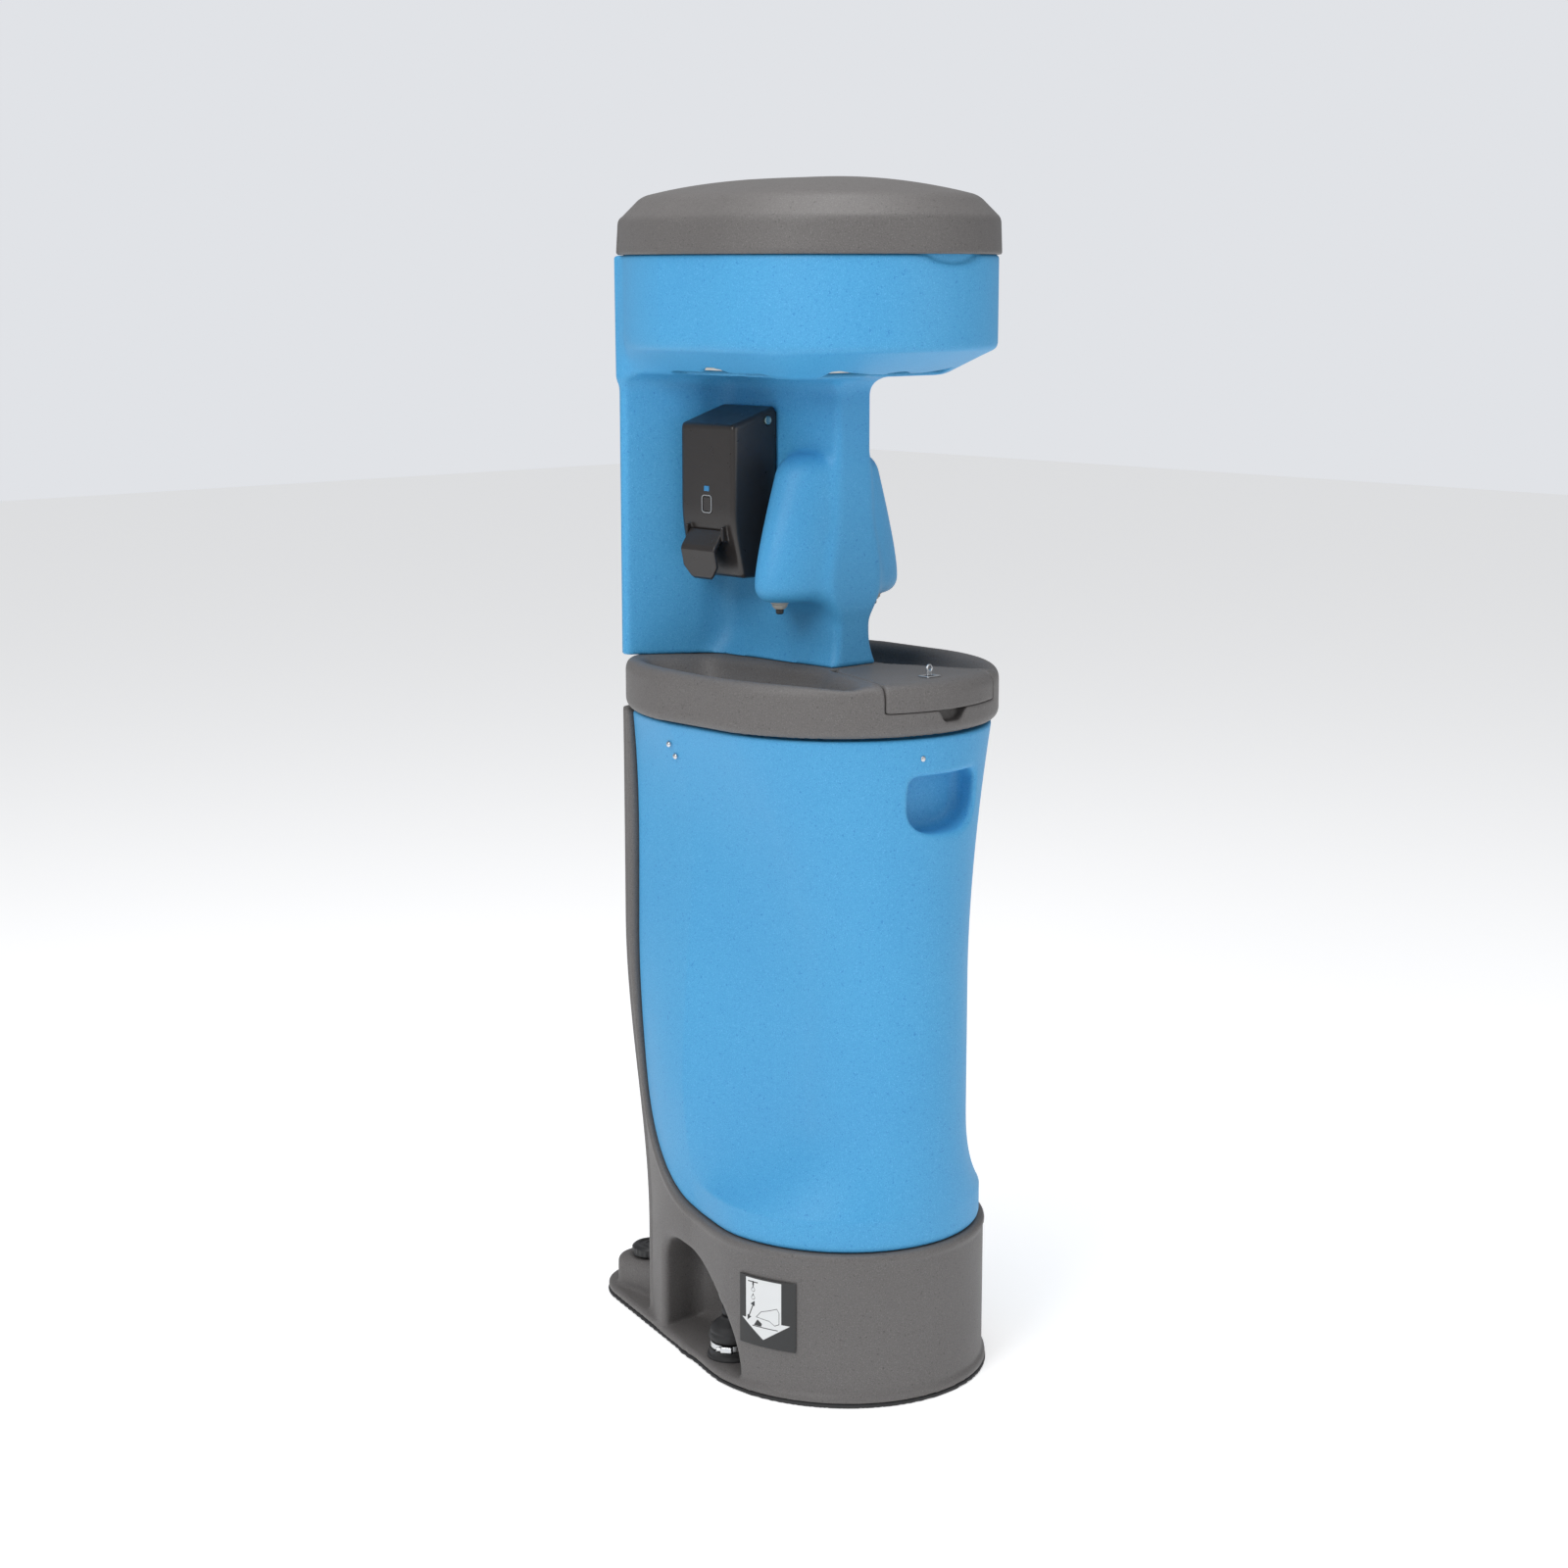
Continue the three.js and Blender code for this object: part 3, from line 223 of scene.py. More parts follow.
def floor_plate(x, d, z, top, grow):
    """Distance to the plate: the tank's foot grown a little, then a taper to the tongue's round corners."""
    foot = plan(x, d, 12, skirt_half, 1.06 * skirt_half, 160, 152, 348) - lip - grow
    lean = (plate_half + 3 - tongue_half) / (tongue_end - tongue_radius - side_end)
    taper = plate_half + grow - np.maximum(d - side_end, 0) * lean
    tongue = smooth_max((np.abs(x) - taper) * 0.96, d - tongue_end - grow + 3, 2 * tongue_radius)
    tongue = np.maximum(tongue, 300 - d)
    return smooth_max(smooth_max(smooth_min(foot, tongue, 6), z - top, 5), 6 + air - z, 1)


def anchored(x, d, body):
    """The body with the hole for a ground anchor through it."""
    return np.maximum(body, anchor_radius - np.hypot(x - anchor_x, d - anchor_d))


def waste_tank(x, d, z):
    joint = fresh_side(d, z)
    wall = smooth_max(tank(x, d, z) - lip + 1.8 * ease((joint - 8) / 6), z - basin_bottom + air, 3)
    wall = smooth_max(wall, -joint, 8)
    wall = smooth_max(wall, -arch(x, d, z), 13)
    wall = smooth_max(wall, 8 - z, 1)
    left, right = drain_box_x
    box = smooth_max(np.maximum(left - x, x - right), d - drain_box_back, 22)
    box = smooth_max(smooth_max(box, z - drain_box_top, 16), drain_box_front - d, 1)
    cap_seat = np.hypot(x - waste_cap_x, d - waste_cap_d)
    box = smooth_max(box, -smooth_max(cap_seat - 31, drain_box_top - 3 - z, 2), 3)
    wall = smooth_min(wall, smooth_max(box, 8 - z, 1), 14)
    return anchored(x, d, smooth_min(wall, floor_plate(x, d, z, plate_top, 3), 5))


def spaced(*runs):
    """Grid lines: each run is a first place, a last place and about the gap between lines."""
    lines = [np.linspace(a, b, max(2, round((b - a) / gap) + 1)) for a, b, gap in runs]
    return np.unique(np.round(np.concatenate(lines), 4))


def moulding(name, field, xs, ds, zs):
    """The surface where a distance field is zero. Each grid cell that the surface crosses gets one point, the
    mean of its edge crossings, and each crossed grid edge gets the face between its four cells. The points
    then slide along the field's slope onto the surface."""
    grid = [np.asarray(v, float) for v in (xs, ds, zs)]
    value = field(*np.meshgrid(*grid, indexing="ij"))
    inside = value < 0
    cells = [n - 1 for n in value.shape]
    corner = lambda a, b, c: inside[a : a + cells[0], b : b + cells[1], c : c + cells[2]]
    count = sum(corner(a, b, c).astype(np.int8) for a in (0, 1) for b in (0, 1) for c in (0, 1))
    mixed = (count > 0) & (count < 8)
    number = np.full(cells, -1)
    number[mixed] = np.arange(mixed.sum())
    total = np.zeros((mixed.sum(), 3))
    hits = np.zeros(mixed.sum())
    faces = []
    for axis in range(3):
        u, v = [(1, 2), (2, 0), (0, 1)][axis]
        lower = tuple(slice(0, -1) if k == axis else slice(None) for k in range(3))
        upper = tuple(slice(1, None) if k == axis else slice(None) for k in range(3))
        cross = np.argwhere(inside[lower] != inside[upper])
        step = np.eye(3, dtype=int)[axis]
        a, b = value[tuple(cross.T)], value[tuple((cross + step).T)]
        place = np.stack([grid[k][cross[:, k]] for k in range(3)], 1)
        place[:, axis] += a / (a - b) * np.diff(grid[axis])[cross[:, axis]]
        ring = []
        for du, dv in ((-1, -1), (0, -1), (0, 0), (-1, 0)):
            cell = cross.copy()
            cell[:, u] += du
            cell[:, v] += dv
            valid = ((cell >= 0) & (cell < np.array(cells))).all(1)
            index = np.full(len(cell), -1)
            index[valid] = number[tuple(cell[valid].T)]
            np.add.at(total, index[valid], place[valid])
            np.add.at(hits, index[valid], 1)
            ring.append(index)
        ring = np.stack(ring, 1)
        ring = np.where((a > b)[:, None], ring[:, ::-1], ring)
        faces.append(ring[(ring >= 0).all(1)])
    points = total / hits[:, None]
    reach = 0.6 * min(np.diff(g).min() for g in grid)
    start = points.copy()
    for _ in range(4):
        here = field(*points.T)
        slope = np.stack([field(*(points + e).T) - field(*(points - e).T) for e in 0.4 * np.eye(3)], 1) / 0.8
        move = here[:, None] * slope / np.maximum((slope**2).sum(1), 0.05)[:, None]
        points = start + np.clip(points - move - start, -reach, reach)
    return surface(name, points, np.concatenate(faces).tolist())


def surface(name, points, faces):
    """An object from points in millimetres (X, D, Z) and faces, shaded smooth, in the frame's metres. Its
    faces are turned outward where the volume that they enclose comes out negative."""
    points = np.asarray(points, float) * 0.001
    points[:, 1] += front_of_basin
    mesh = bpy.data.meshes.new(name)
    mesh.from_pydata(points.tolist(), [], faces)
    corners = np.zeros(3 * len(mesh.loop_triangles), int)
    mesh.loop_triangles.foreach_get("vertices", corners)
    a, b, c = (points - points.mean(0))[corners.reshape(-1, 3)].transpose(1, 0, 2)
    if (a * np.cross(b, c)).sum() < 0:
        mesh.flip_normals()
    mesh.polygons.foreach_set("use_smooth", np.ones(len(mesh.polygons), bool))
    mesh.update()
    piece = bpy.data.objects.new(name, mesh)
    bpy.context.scene.collection.objects.link(piece)
    return piece


def grain_group():
    """Rotational moulding grade: a base colour with slow mottling, fine dark and light specks, and a pebbled
    skin."""
    group = bpy.data.node_groups.new("roto_grain", "ShaderNodeTree")
    sock = group.interface.new_socket
    for label in ("Color", "Dark", "Light"):
        sock(label, in_out="INPUT", socket_type="NodeSocketColor")
    sock("Dirt", in_out="INPUT", socket_type="NodeSocketFloat")
    sock("Color", in_out="OUTPUT", socket_type="NodeSocketColor")
    sock("Roughness", in_out="OUTPUT", socket_type="NodeSocketFloat")
    sock("Height", in_out="OUTPUT", socket_type="NodeSocketFloat")
    node, link = group.nodes.new, group.links.new
    given, out = node("NodeGroupInput"), node("NodeGroupOutput")
    place = node("ShaderNodeTexCoord")

    def noise(scale, detail, roughness=0.5):
        n = node("ShaderNodeTexNoise")
        n.inputs["Scale"].default_value = scale
        n.inputs["Detail"].default_value = detail
        n.inputs["Roughness"].default_value = roughness
        link(place.outputs["Object"], n.inputs["Vector"])
        return n.outputs["Fac"]

    def ramp(value, low, high, invert=False):
        n = node("ShaderNodeMapRange")
        n.inputs["From Min"].default_value = low
        n.inputs["From Max"].default_value = high
        n.inputs["To Min"].default_value = 1.0 if invert else 0.0
        n.inputs["To Max"].default_value = 0.0 if invert else 1.0
        link(value, n.inputs["Value"])
        return n.outputs["Result"]

    def mix(share, a, b):
        n = node("ShaderNodeMix")
        n.data_type = "RGBA"
        for value, socket in ((share, n.inputs[0]), (a, n.inputs[6]), (b, n.inputs[7])):
            link(value, socket)
        return n.outputs[2]

    def times(value, factor):
        n = node("ShaderNodeMath")
        n.operation = "MULTIPLY"
        link(value, n.inputs[0])
        if isinstance(factor, float):
            n.inputs[1].default_value = factor
        else:
            link(factor, n.inputs[1])
        return n.outputs[0]

    color = mix(times(ramp(noise(520, 2), 0.5, 0.78), 0.55), given.outputs["Color"], given.outputs["Dark"])
    color = mix(times(ramp(noise(760, 1), 0.56, 0.8), 0.5), color, given.outputs["Light"])
    specks = ramp(noise(260, 1), 0.69, 0.735)
    color = mix(times(specks, 0.6), color, given.outputs["Dark"])
    color = mix(times(ramp(noise(5, 3), 0.42, 0.75), given.outputs["Dirt"]), color, given.outputs["Dark"])
    link(color, out.inputs["Color"])
    rough = node("ShaderNodeMapRange")
    rough.inputs["To Min"].default_value = 0.42
    rough.inputs["To Max"].default_value = 0.6
    link(noise(9, 4), rough.inputs["Value"])
    link(rough.outputs["Result"], out.inputs["Roughness"])
    link(noise(330, 3, 0.6), out.inputs["Height"])
    return group


roto_grain = grain_group()


def moulded_plastic(name, color, dark, light, dirt, pebble=0.00035):
    """Rotationally moulded polyethylene in one colour grade."""
    material = bpy.data.materials.new(name)
    material.use_nodes = True
    tree = material.node_tree
    shader = tree.nodes["Principled BSDF"]
    grain = tree.nodes.new("ShaderNodeGroup")
    grain.node_tree = roto_grain
    grain.inputs["Color"].default_value = (*color, 1)
    grain.inputs["Dark"].default_value = (*dark, 1)
    grain.inputs["Light"].default_value = (*light, 1)
    grain.inputs["Dirt"].default_value = dirt
    bump = tree.nodes.new("ShaderNodeBump")
    bump.inputs["Distance"].default_value = pebble
    bump.inputs["Strength"].default_value = 0.5
    tree.links.new(grain.outputs["Color"], shader.inputs["Base Color"])
    tree.links.new(grain.outputs["Roughness"], shader.inputs["Roughness"])
    tree.links.new(grain.outputs["Height"], bump.inputs["Height"])
    tree.links.new(bump.outputs["Normal"], shader.inputs["Normal"])
    shader.inputs["Specular IOR Level"].default_value = 0.35
    return material


grey_plastic = moulded_plastic(
    "grey_polyethylene", (0.129, 0.122, 0.119), (0.07, 0.066, 0.063), (0.27, 0.26, 0.255), 0.15
)
waste_shell = moulding(
    "waste_tank_shell",
    waste_tank,
    spaced((-203, 203, 3.6)),
    spaced((-1.5, 641, 3.6)),
    spaced((3, 320, 3.2), (320, 880, 9), (880, 899, 3)),
)
waste_shell.data.materials.append(grey_plastic)
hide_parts("waste_tank")
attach(waste_shell, "stand")

# ---- Floor pad ----
# A black rubber sheet under the plate, a little wider than it, so that it shows as a thin dark line. The
# hole for the ground anchor goes through it too.


def floor_pad(x, d, z):
    return anchored(x, d, smooth_max(floor_plate(x, d, z + 6.3, 12.3, 4), -z, 2))


def plain_material(name, color, roughness, metallic=0.0, grain=60.0, depth=0.0002, spread=0.12):
    """A material whose colour and roughness drift a little and whose skin has a fine grain."""
    material = bpy.data.materials.new(name)
    material.use_nodes = True
    tree = material.node_tree
    node, link = tree.nodes.new, tree.links.new
    shader = tree.nodes["Principled BSDF"]
    shader.inputs["Metallic"].default_value = metallic
    place = node("ShaderNodeTexCoord")
    noise = node("ShaderNodeTexNoise")
    noise.inputs["Scale"].default_value = grain
    noise.inputs["Detail"].default_value = 4
    link(place.outputs["Object"], noise.inputs["Vector"])
    tint = node("ShaderNodeMix")
    tint.data_type = "RGBA"
    tint.inputs[6].default_value = (*[c * (1 - spread) for c in color], 1)
    tint.inputs[7].default_value = (*[min(1, c * (1 + spread)) for c in color], 1)
    link(noise.outputs["Fac"], tint.inputs[0])
    link(tint.outputs[2], shader.inputs["Base Color"])
    rough = node("ShaderNodeMapRange")
    rough.inputs["To Min"].default_value = roughness - 0.07
    rough.inputs["To Max"].default_value = roughness + 0.07
    link(noise.outputs["Fac"], rough.inputs["Value"])
    link(rough.outputs["Result"], shader.inputs["Roughness"])
    fine = node("ShaderNodeTexNoise")
    fine.inputs["Scale"].default_value = 12 * grain
    link(place.outputs["Object"], fine.inputs["Vector"])
    bump = node("ShaderNodeBump")
    bump.inputs["Distance"].default_value = depth
    bump.inputs["Strength"].default_value = 0.4
    link(fine.outputs["Fac"], bump.inputs["Height"])
    link(bump.outputs["Normal"], shader.inputs["Normal"])
    return material


def finish(piece, material, slot, body, *nodes):
    """Gives a piece its material, its body and the nodes that it stands for. The slot is not used."""
    piece.data.materials.append(material)
    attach(piece, body)
    if nodes:
        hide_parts(*nodes)
    return piece


rubber = plain_material("black_rubber", (0.018, 0.018, 0.019), 0.62)
pad = moulding("rubber_pad", floor_pad, spaced((-216, 216, 4)), spaced((-2, 642, 4)), spaced((-1, 8.2, 2.3)))
finish(pad, rubber, "black_rubber_pad", "stand", "floor_pad")

# ---- Fresh-water tank ----
# The blue rotational moulding that sits in the waste tank: flared at the top, waisted, with a foot band, a
# handle pocket under the basin and a filling neck under the hatch.
fill_d, fill_radius = 105, 27
pocket_half, pocket_top, pocket_floor, pocket_back = 60, 844, 767, 56


def fresh_tank(x, d, z):
    wall = smooth_max(tank(x, d, z), fresh_side(d, z) + air, 9)
    wall = smooth_max(wall, z - basin_bottom + 2, 5)
    step = smooth_max(tank(x, d, np.full_like(z, basin_bottom)) + 18, z - tank_top, 5)
    step = smooth_max(step, fresh_side(d, z) + air, 7)
    wall = smooth_min(wall, np.maximum(step, 860 - z), 3)
    neck = np.hypot(x, d - fill_d)
    wall = smooth_min(wall, np.maximum(neck - fill_radius - 5, np.maximum(z - 922, 880 - z)), 4)
    wall = np.maximum(wall, -np.maximum(neck - fill_radius, 884 - z))
    low = pocket_floor - 2 + 22 * (np.abs(x) / pocket_half) ** 3
    pocket = smooth_max(smooth_max(np.abs(x) - pocket_half, z - pocket_top, 18), low - z, 16)
    pocket = smooth_max(pocket, d - pocket_back, 16)
    return smooth_max(wall, -pocket, 9)


blue_plastic = moulded_plastic(
    "blue_polyethylene", (0.066, 0.335, 0.61), (0.03, 0.2, 0.5), (0.2, 0.56, 0.9), 0.1
)
fresh_shell = moulding(
    "fresh_tank_shell",
    fresh_tank,
    spaced((-209, 209, 3.6)),
    spaced((0, 455, 3.6)),
    spaced((206, 350, 3.4), (350, 740, 6), (740, 925, 3.2)),
)
finish(fresh_shell, blue_plastic, "blue_moulding", "stand", "fresh_tank")

# ---- Basin ----
# The grey D-shaped basin: a rounded rim, two dished bowls, and between them a wedge-shaped recess for the
# hatch lid with a finger notch in its front wall. It is moulded hollow and sits over the top of the tanks.
basin_half, basin_nose, basin_back, back_wide = 218, 225, 480, 155
bowl_middle = (112, 270)
bowl_floor = 910
bowl_turn = [
    (101, 78), (126, 56), (163, 108), (189, 190), (190, 300), (174, 388),
    (146, 436), (104, 424), (66, 398), (55, 330), (55, 200), (76, 140),
]  # fmt: skip
lid_bottom, lid_rear, lid_rear_half, lid_slope = 929, 178, 49, 1 / 3
notch_floor, notch_half = 913, 15


def closed_curve(points, count):
    """A smooth closed curve through the points, by the Catmull-Rom formula."""
    p = np.array(points, float)
    k = np.arange(count) * len(p) / count
    i, t = k.astype(int), (k % 1)[:, None]
    a, b, c, e = (p[(i + j) % len(p)] for j in (-1, 0, 1, 2))
    return 0.5 * (2 * b + (c - a) * t + (2 * a - 5 * b + 4 * c - e) * t**2 + (3 * b - a - 3 * c + e) * t**3)


def polar_table(curve, middle):
    """A closed curve as radius and surface slope by angle round a middle."""
    out = curve - middle
    angle = np.arctan2(out[:, 1], out[:, 0])
    order = np.argsort(angle)
    turn = np.linspace(-np.pi, np.pi, 721)
    radius = np.interp(turn, angle[order], np.hypot(*out.T)[order], period=2 * np.pi)
    rate = np.gradient(radius, turn)
    return turn, radius, radius / np.hypot(radius, rate)


bowl_table = polar_table(closed_curve(bowl_turn, 480), np.array(bowl_middle))


def bowls(x, d, z):
    """Distance to the two dishes: the rim curve shrinks with depth, and meets the floor in a wide round."""
    out_x, out_d = np.abs(x) - bowl_middle[0], d - bowl_middle[1]
    angle = np.arctan2(out_d, out_x)
    turn, radius, slope = bowl_table
    reach, lean = np.interp(angle, turn, radius), np.interp(angle, turn, slope)
    share = 0.79 + 0.21 * np.clip((z - bowl_floor) / (rim_height - bowl_floor), 0, 1.2) ** 0.8
    side = (np.hypot(out_x, out_d) - reach * share) * lean * 0.93
    return smooth_max(side, bowl_floor + 0.018 * np.hypot(out_x, out_d - 30) - z, 44)


def hatch_wedge(x, d, gap):
    """Distance to the hatch's wedge in plan, which narrows toward the back."""
    side = (np.abs(x) - lid_rear_half - lid_slope * (lid_rear - d)) * 0.949
    return smooth_max(side, d - lid_rear, 5) + gap


def basin_outline(x, d, corner=16):
    return plan(x, d, 0, basin_half, basin_nose, basin_half, back_wide, basin_back, corner)


def basin_blank(x, d, z):
    """Distance to the basin before its bowls and recess are cut."""
    rim = basin_outline(x, d, 18)
    return smooth_max(smooth_max(rim, z - rim_height, 19), basin_bottom - z + 0.2 * (rim + 14), 13)


def notch(x, d, z):
    """Distance to the finger notch, which widens upward."""
    side = (np.abs(x) - notch_half - (z - notch_floor) * 10 / 17) * 0.86
    return smooth_max(smooth_max(side, notch_floor - z, 6), d - 17, 5)


def basin(x, d, z):
    body = smooth_max(basin_blank(x, d, z), -bowls(x, d, z), 15)
    body = smooth_max(body, -smooth_max(hatch_wedge(x, d, 0), lid_bottom - z, 4), 3)
    body = smooth_max(body, -smooth_max(notch(x, d, z), z - lid_bottom - 2, 1), 4)
    body = np.maximum(body, -np.maximum(np.hypot(x, d - fill_d) - fill_radius - 18, 0 * z))
    return smooth_max(body, -np.maximum(basin_outline(x, d) + 9, z - tank_top - 1), 2)


basin_shell = moulding(
    "basin_shell",
    basin,
    spaced((-221, -105, 3.3), (-105, 105, 2.8), (105, 221, 3.3)),
    spaced((-2, 60, 2.6), (60, 483, 3.3)),
    spaced((893, 969, 2.6)),
)
finish(basin_shell, grey_plastic, "grey_moulding", "stand", "basin", "hatch_tray")

# ---- Hatch lid ----
# The grey wedge that closes the filling hatch. It is hollow underneath, its front follows the basin's rim,
# and its rear corners step in round the hinge pin. A lock staple comes up through a slot near the front.
lid_axis, knuckle_radius = (170, 960), 6
staple_d = 46


def hatch_lid(x, d, z):
    body = smooth_max(basin_blank(x, d, z), hatch_wedge(x, d, 1.3), 5)
    body = smooth_max(smooth_max(body, lid_bottom + air - z, 3), d - lid_axis[0] - 1, 4)
    corner = np.minimum(np.abs(x) - lid_rear_half + 1.5, d - lid_axis[0] + 7.5)
    body = smooth_max(body, corner, 3)
    under = smooth_max(hatch_wedge(x, d, 8), basin_outline(x, d) + 8, 6)
    under = smooth_max(smooth_max(under, z - rim_height + 6, 4), d - lid_axis[0] + 9, 4)
    body = smooth_max(body, -under, 2)
    barrel = np.maximum(np.hypot(d - lid_axis[0], z - lid_axis[1]) - knuckle_radius, np.abs(x) - 40)
    body = smooth_min(body, barrel, 3)
    slot = smooth_max(np.abs(x) - 8, np.abs(d - staple_d + 1) - 6, 3)
    return smooth_max(body, -slot, 2)


lid_shell = moulding(
    "hatch_lid_shell",
    hatch_lid,
    spaced((-104, 104, 2.2)),
    spaced((-2, 178, 2.2)),
    spaced((926, 969, 2.0)),
)
finish(lid_shell, grey_plastic, "grey_moulding", "hatch_lid_body", "hatch_lid")

# ---- Tower ----
# One blue moulding from the basin to the cap: the back panel, the column with a spout wing on each side,
# and the round towel housing. Every joint between them is a wide fillet. The housing is open at the top,
# where a thin lip runs round inside the cap's wall.
head_front, head_half, head_nose = 7, 210, 218
head_bottom, head_edge, head_top = 1345, 1382, 1500
under_front, under_half, under_nose = 122, 142, 45
lip_inset, lip_half = 9.5, 4.5
panel_root, panel_edge_half = 403, 155
column_half, column_front = 32, 183
wing_d, wing_low, spout_x = 236, 1053, 86
wing_heights = np.array([1040.0, 1066, 1084, 1120, 1160, 1190, 1222, 1252])
wing_halves = np.array([118.0, 121, 121, 113, 101, 91, 80, 72])
wing_depths = np.array([50.0, 53, 54, 54, 53, 52, 50, 47])
slot_d, slot_x, slot_depth, front_slot_half, side_slot = 110, 151, 34, 108, (190, 378)
cap_axis = (489, 1494)


def smooth_row(z, heights, values):
    """Values by height along a smooth curve: the mean of the straight interpolation over 24 mm."""
    offsets = np.linspace(-12, 12, 7)
    line = np.linspace(heights[0], heights[-1], 240)
    soft = np.mean([np.interp(line + o, heights, values) for o in offsets], axis=0)
    return np.interp(z, line, soft)


def ellipse(u, v, a, b):
    """Distance to an ellipse, near it."""
    k0 = np.hypot(u / a, v / b)
    k1 = np.hypot(u / a**2, v / b**2) + 1e-9
    return k0 * (k0 - 1) / k1


def head_plan(x, d):
    return plan(x, d, head_front, head_half, head_nose, head_half, back_wide, basin_back, 14)


def housing_body(x, d, z, inset):
    """Distance to the housing without its top: the drum's wall, and a wide bevel down to the small
    underside."""
    drum = head_plan(x, d)
    under = plan(x, d, under_front, under_half, under_nose, under_half, back_wide, basin_back, 18)
    t = (z - head_bottom) / (head_edge - head_bottom)
    gap = np.maximum(under - drum, 0) / (head_edge - head_bottom)
    bevel = (under + (drum - under) * t) / np.sqrt(1 + gap * gap)
    body = smooth_max(smooth_max(drum, bevel, 7), head_bottom - z, 5)
    return body + inset


def towel_slots(x, d, z):
    """Distance to the three dispensing slots, each with a half-round finger cut-out in its middle."""
    low = np.maximum(z - head_bottom - 30, head_bottom - 8 - z)
    front = smooth_max(np.abs(x) - front_slot_half, np.abs(d - slot_d - slot_depth / 2) - slot_depth / 2, 12)
    front = smooth_min(front, np.hypot(x, d - slot_d - 14) - 26, 5)
    middle = sum(side_slot) / 2
    side = smooth_max(np.abs(d - middle) - (side_slot[1] - side_slot[0]) / 2,
                      np.abs(np.abs(x) - slot_x + slot_depth / 2) - slot_depth / 2, 12)
    side = smooth_min(side, np.hypot(np.abs(x) - slot_x + 14, d - middle) - 26, 5)
    return smooth_max(np.minimum(front, side), low, 3)


def tower(x, d, z):
    side = np.abs(x)
    slant = (panel_root + 0.6 * (side - 50) - d) * 0.857
    panel = smooth_max(smooth_max(panel_root - d, slant, 14), d - basin_back, 4)
    panel = smooth_max(panel, side - panel_edge_half, 5)
    foot = np.clip((rim_height + 46 - z) / 46, 0, 1) ** 2.2
    run = np.clip((d - column_front) / (panel_root - column_front), 0, 1)
    column = side - column_half - foot * (9 + 9 * run)
    column = smooth_max(column, column_front - 4 * foot - d, 13)
    column = np.maximum(column, d - panel_root - 20)
    half, depth = smooth_row(z, wing_heights, wing_halves), smooth_row(z, wing_heights, wing_depths)
    wings = ellipse(x, d - wing_d, half, depth) * 0.93
    wings = smooth_max(wings, wing_low - z, 22)
    wings = smooth_max(wings, z - 1250 + 0.12 * side, 26)
    body = smooth_min(column, wings, 12 + 24 * ease((1170 - z) / 90))
    body = smooth_max(body, column_front - 4 - d, 4)
    body = smooth_min(body, panel, 30)
    housing = housing_body(x, d, z, 0)
    body = smooth_min(body, housing, 26)
    body = smooth_max(body, d - basin_back, 4)
    body = smooth_max(body, rim_height + air - z, 2)
    body = smooth_max(body, z - head_top, 5)
    lip_band = np.abs(head_plan(x, d) + lip_inset) - lip_half
    ring = np.maximum(lip_band, np.maximum(z - head_top - 12, head_top - 16 - z))
    body = smooth_min(body, ring, 3)
    inside = smooth_max(housing_body(x, d, z, 6.5), head_bottom + 6.5 - z, 4)
    inside = np.maximum(inside, -np.maximum(lip_band, head_top - 12 - z))
    body = smooth_max(body, -inside, 2)
    body = smooth_max(body, -towel_slots(x, d, z), 3)
    scoop = np.sqrt((x / 88) ** 2 + ((d + 9) / 27) ** 2 + ((z - head_top - 4) / 22) ** 2)
    body = np.minimum(smooth_max(body, (1 - scoop) * 20, 5), ring)
    knuckle = np.hypot(d - cap_axis[0], z - cap_axis[1]) - knuckle_radius
    knuckle = np.minimum(knuckle, np.maximum(np.abs(z - cap_axis[1] + 1) - 5, np.abs(d - 482) - 7))
    knuckle = smooth_max(knuckle, np.abs(side - 43.5) - 14.5, 2)
    for s in (-1, 1):
        seat = np.hypot(x - s * spout_x, d - wing_d)
        body = np.maximum(body, -np.maximum(seat - 9, z - 1072))
    return smooth_min(body, knuckle, 3)


tower_shell = moulding(
    "tower_shell",
    tower,
    spaced((-214, 214, 3.9)),
    spaced((3, 180, 3.9), (180, 290, 3.4), (290, 499, 4.0)),
    spaced((963, 1030, 4.0), (1030, 1340, 4.0), (1340, 1385, 2.8), (1385, 1480, 7), (1480, 1515, 2.8)),
)
finish(tower_shell, blue_plastic, "blue_moulding", "stand", "back_panel", "spout_column", "towel_housing")

# ---- Cap ----
# The grey lid of the towel housing: a short wall, a broad sloped shoulder and a low dome, hollow inside,
# with a hinge knuckle at the back.
cap_edge, crown = 1550, 1600


def cap_skin(x, d, z):
    edge = head_plan(x, d)
    wall = edge - 4 + 0.04 * (z - head_top)
    shoulder = (edge + (z - cap_edge) + 1) * 0.707
    inward = np.clip(1 - np.clip(-edge - 24, 0, 200) / 190, 0, 1)
    dome = z - crown + 25 * inward**2
    return smooth_max(smooth_max(wall, shoulder, 4), dome * 0.98, 5)


def cap_lid(x, d, z):
    skin = cap_skin(x, d, z)
    body = smooth_max(smooth_max(skin, head_top + air - z, 4), -(skin + 6.2), 2)
    body = smooth_max(body, head_top + air - z, 1)
    knuckle = np.hypot(d - cap_axis[0], z - cap_axis[1]) - knuckle_radius
    strap = np.maximum(np.abs(z - cap_axis[1] - 7) - 8, np.abs(d - 488.8) - 5.8)
    knuckle = smooth_max(np.minimum(knuckle, strap), np.abs(x) - 28, 2)
    return smooth_min(body, knuckle, 2)


cap_shell = moulding(
    "cap_shell",
    cap_lid,
    spaced((-217, 217, 3.8)),
    spaced((-1, 499, 3.8)),
    spaced((1486, 1545, 4), (1545, 1603, 2.6)),
)
finish(cap_shell, grey_plastic, "grey_moulding", "cap_lid_body", "cap_lid")

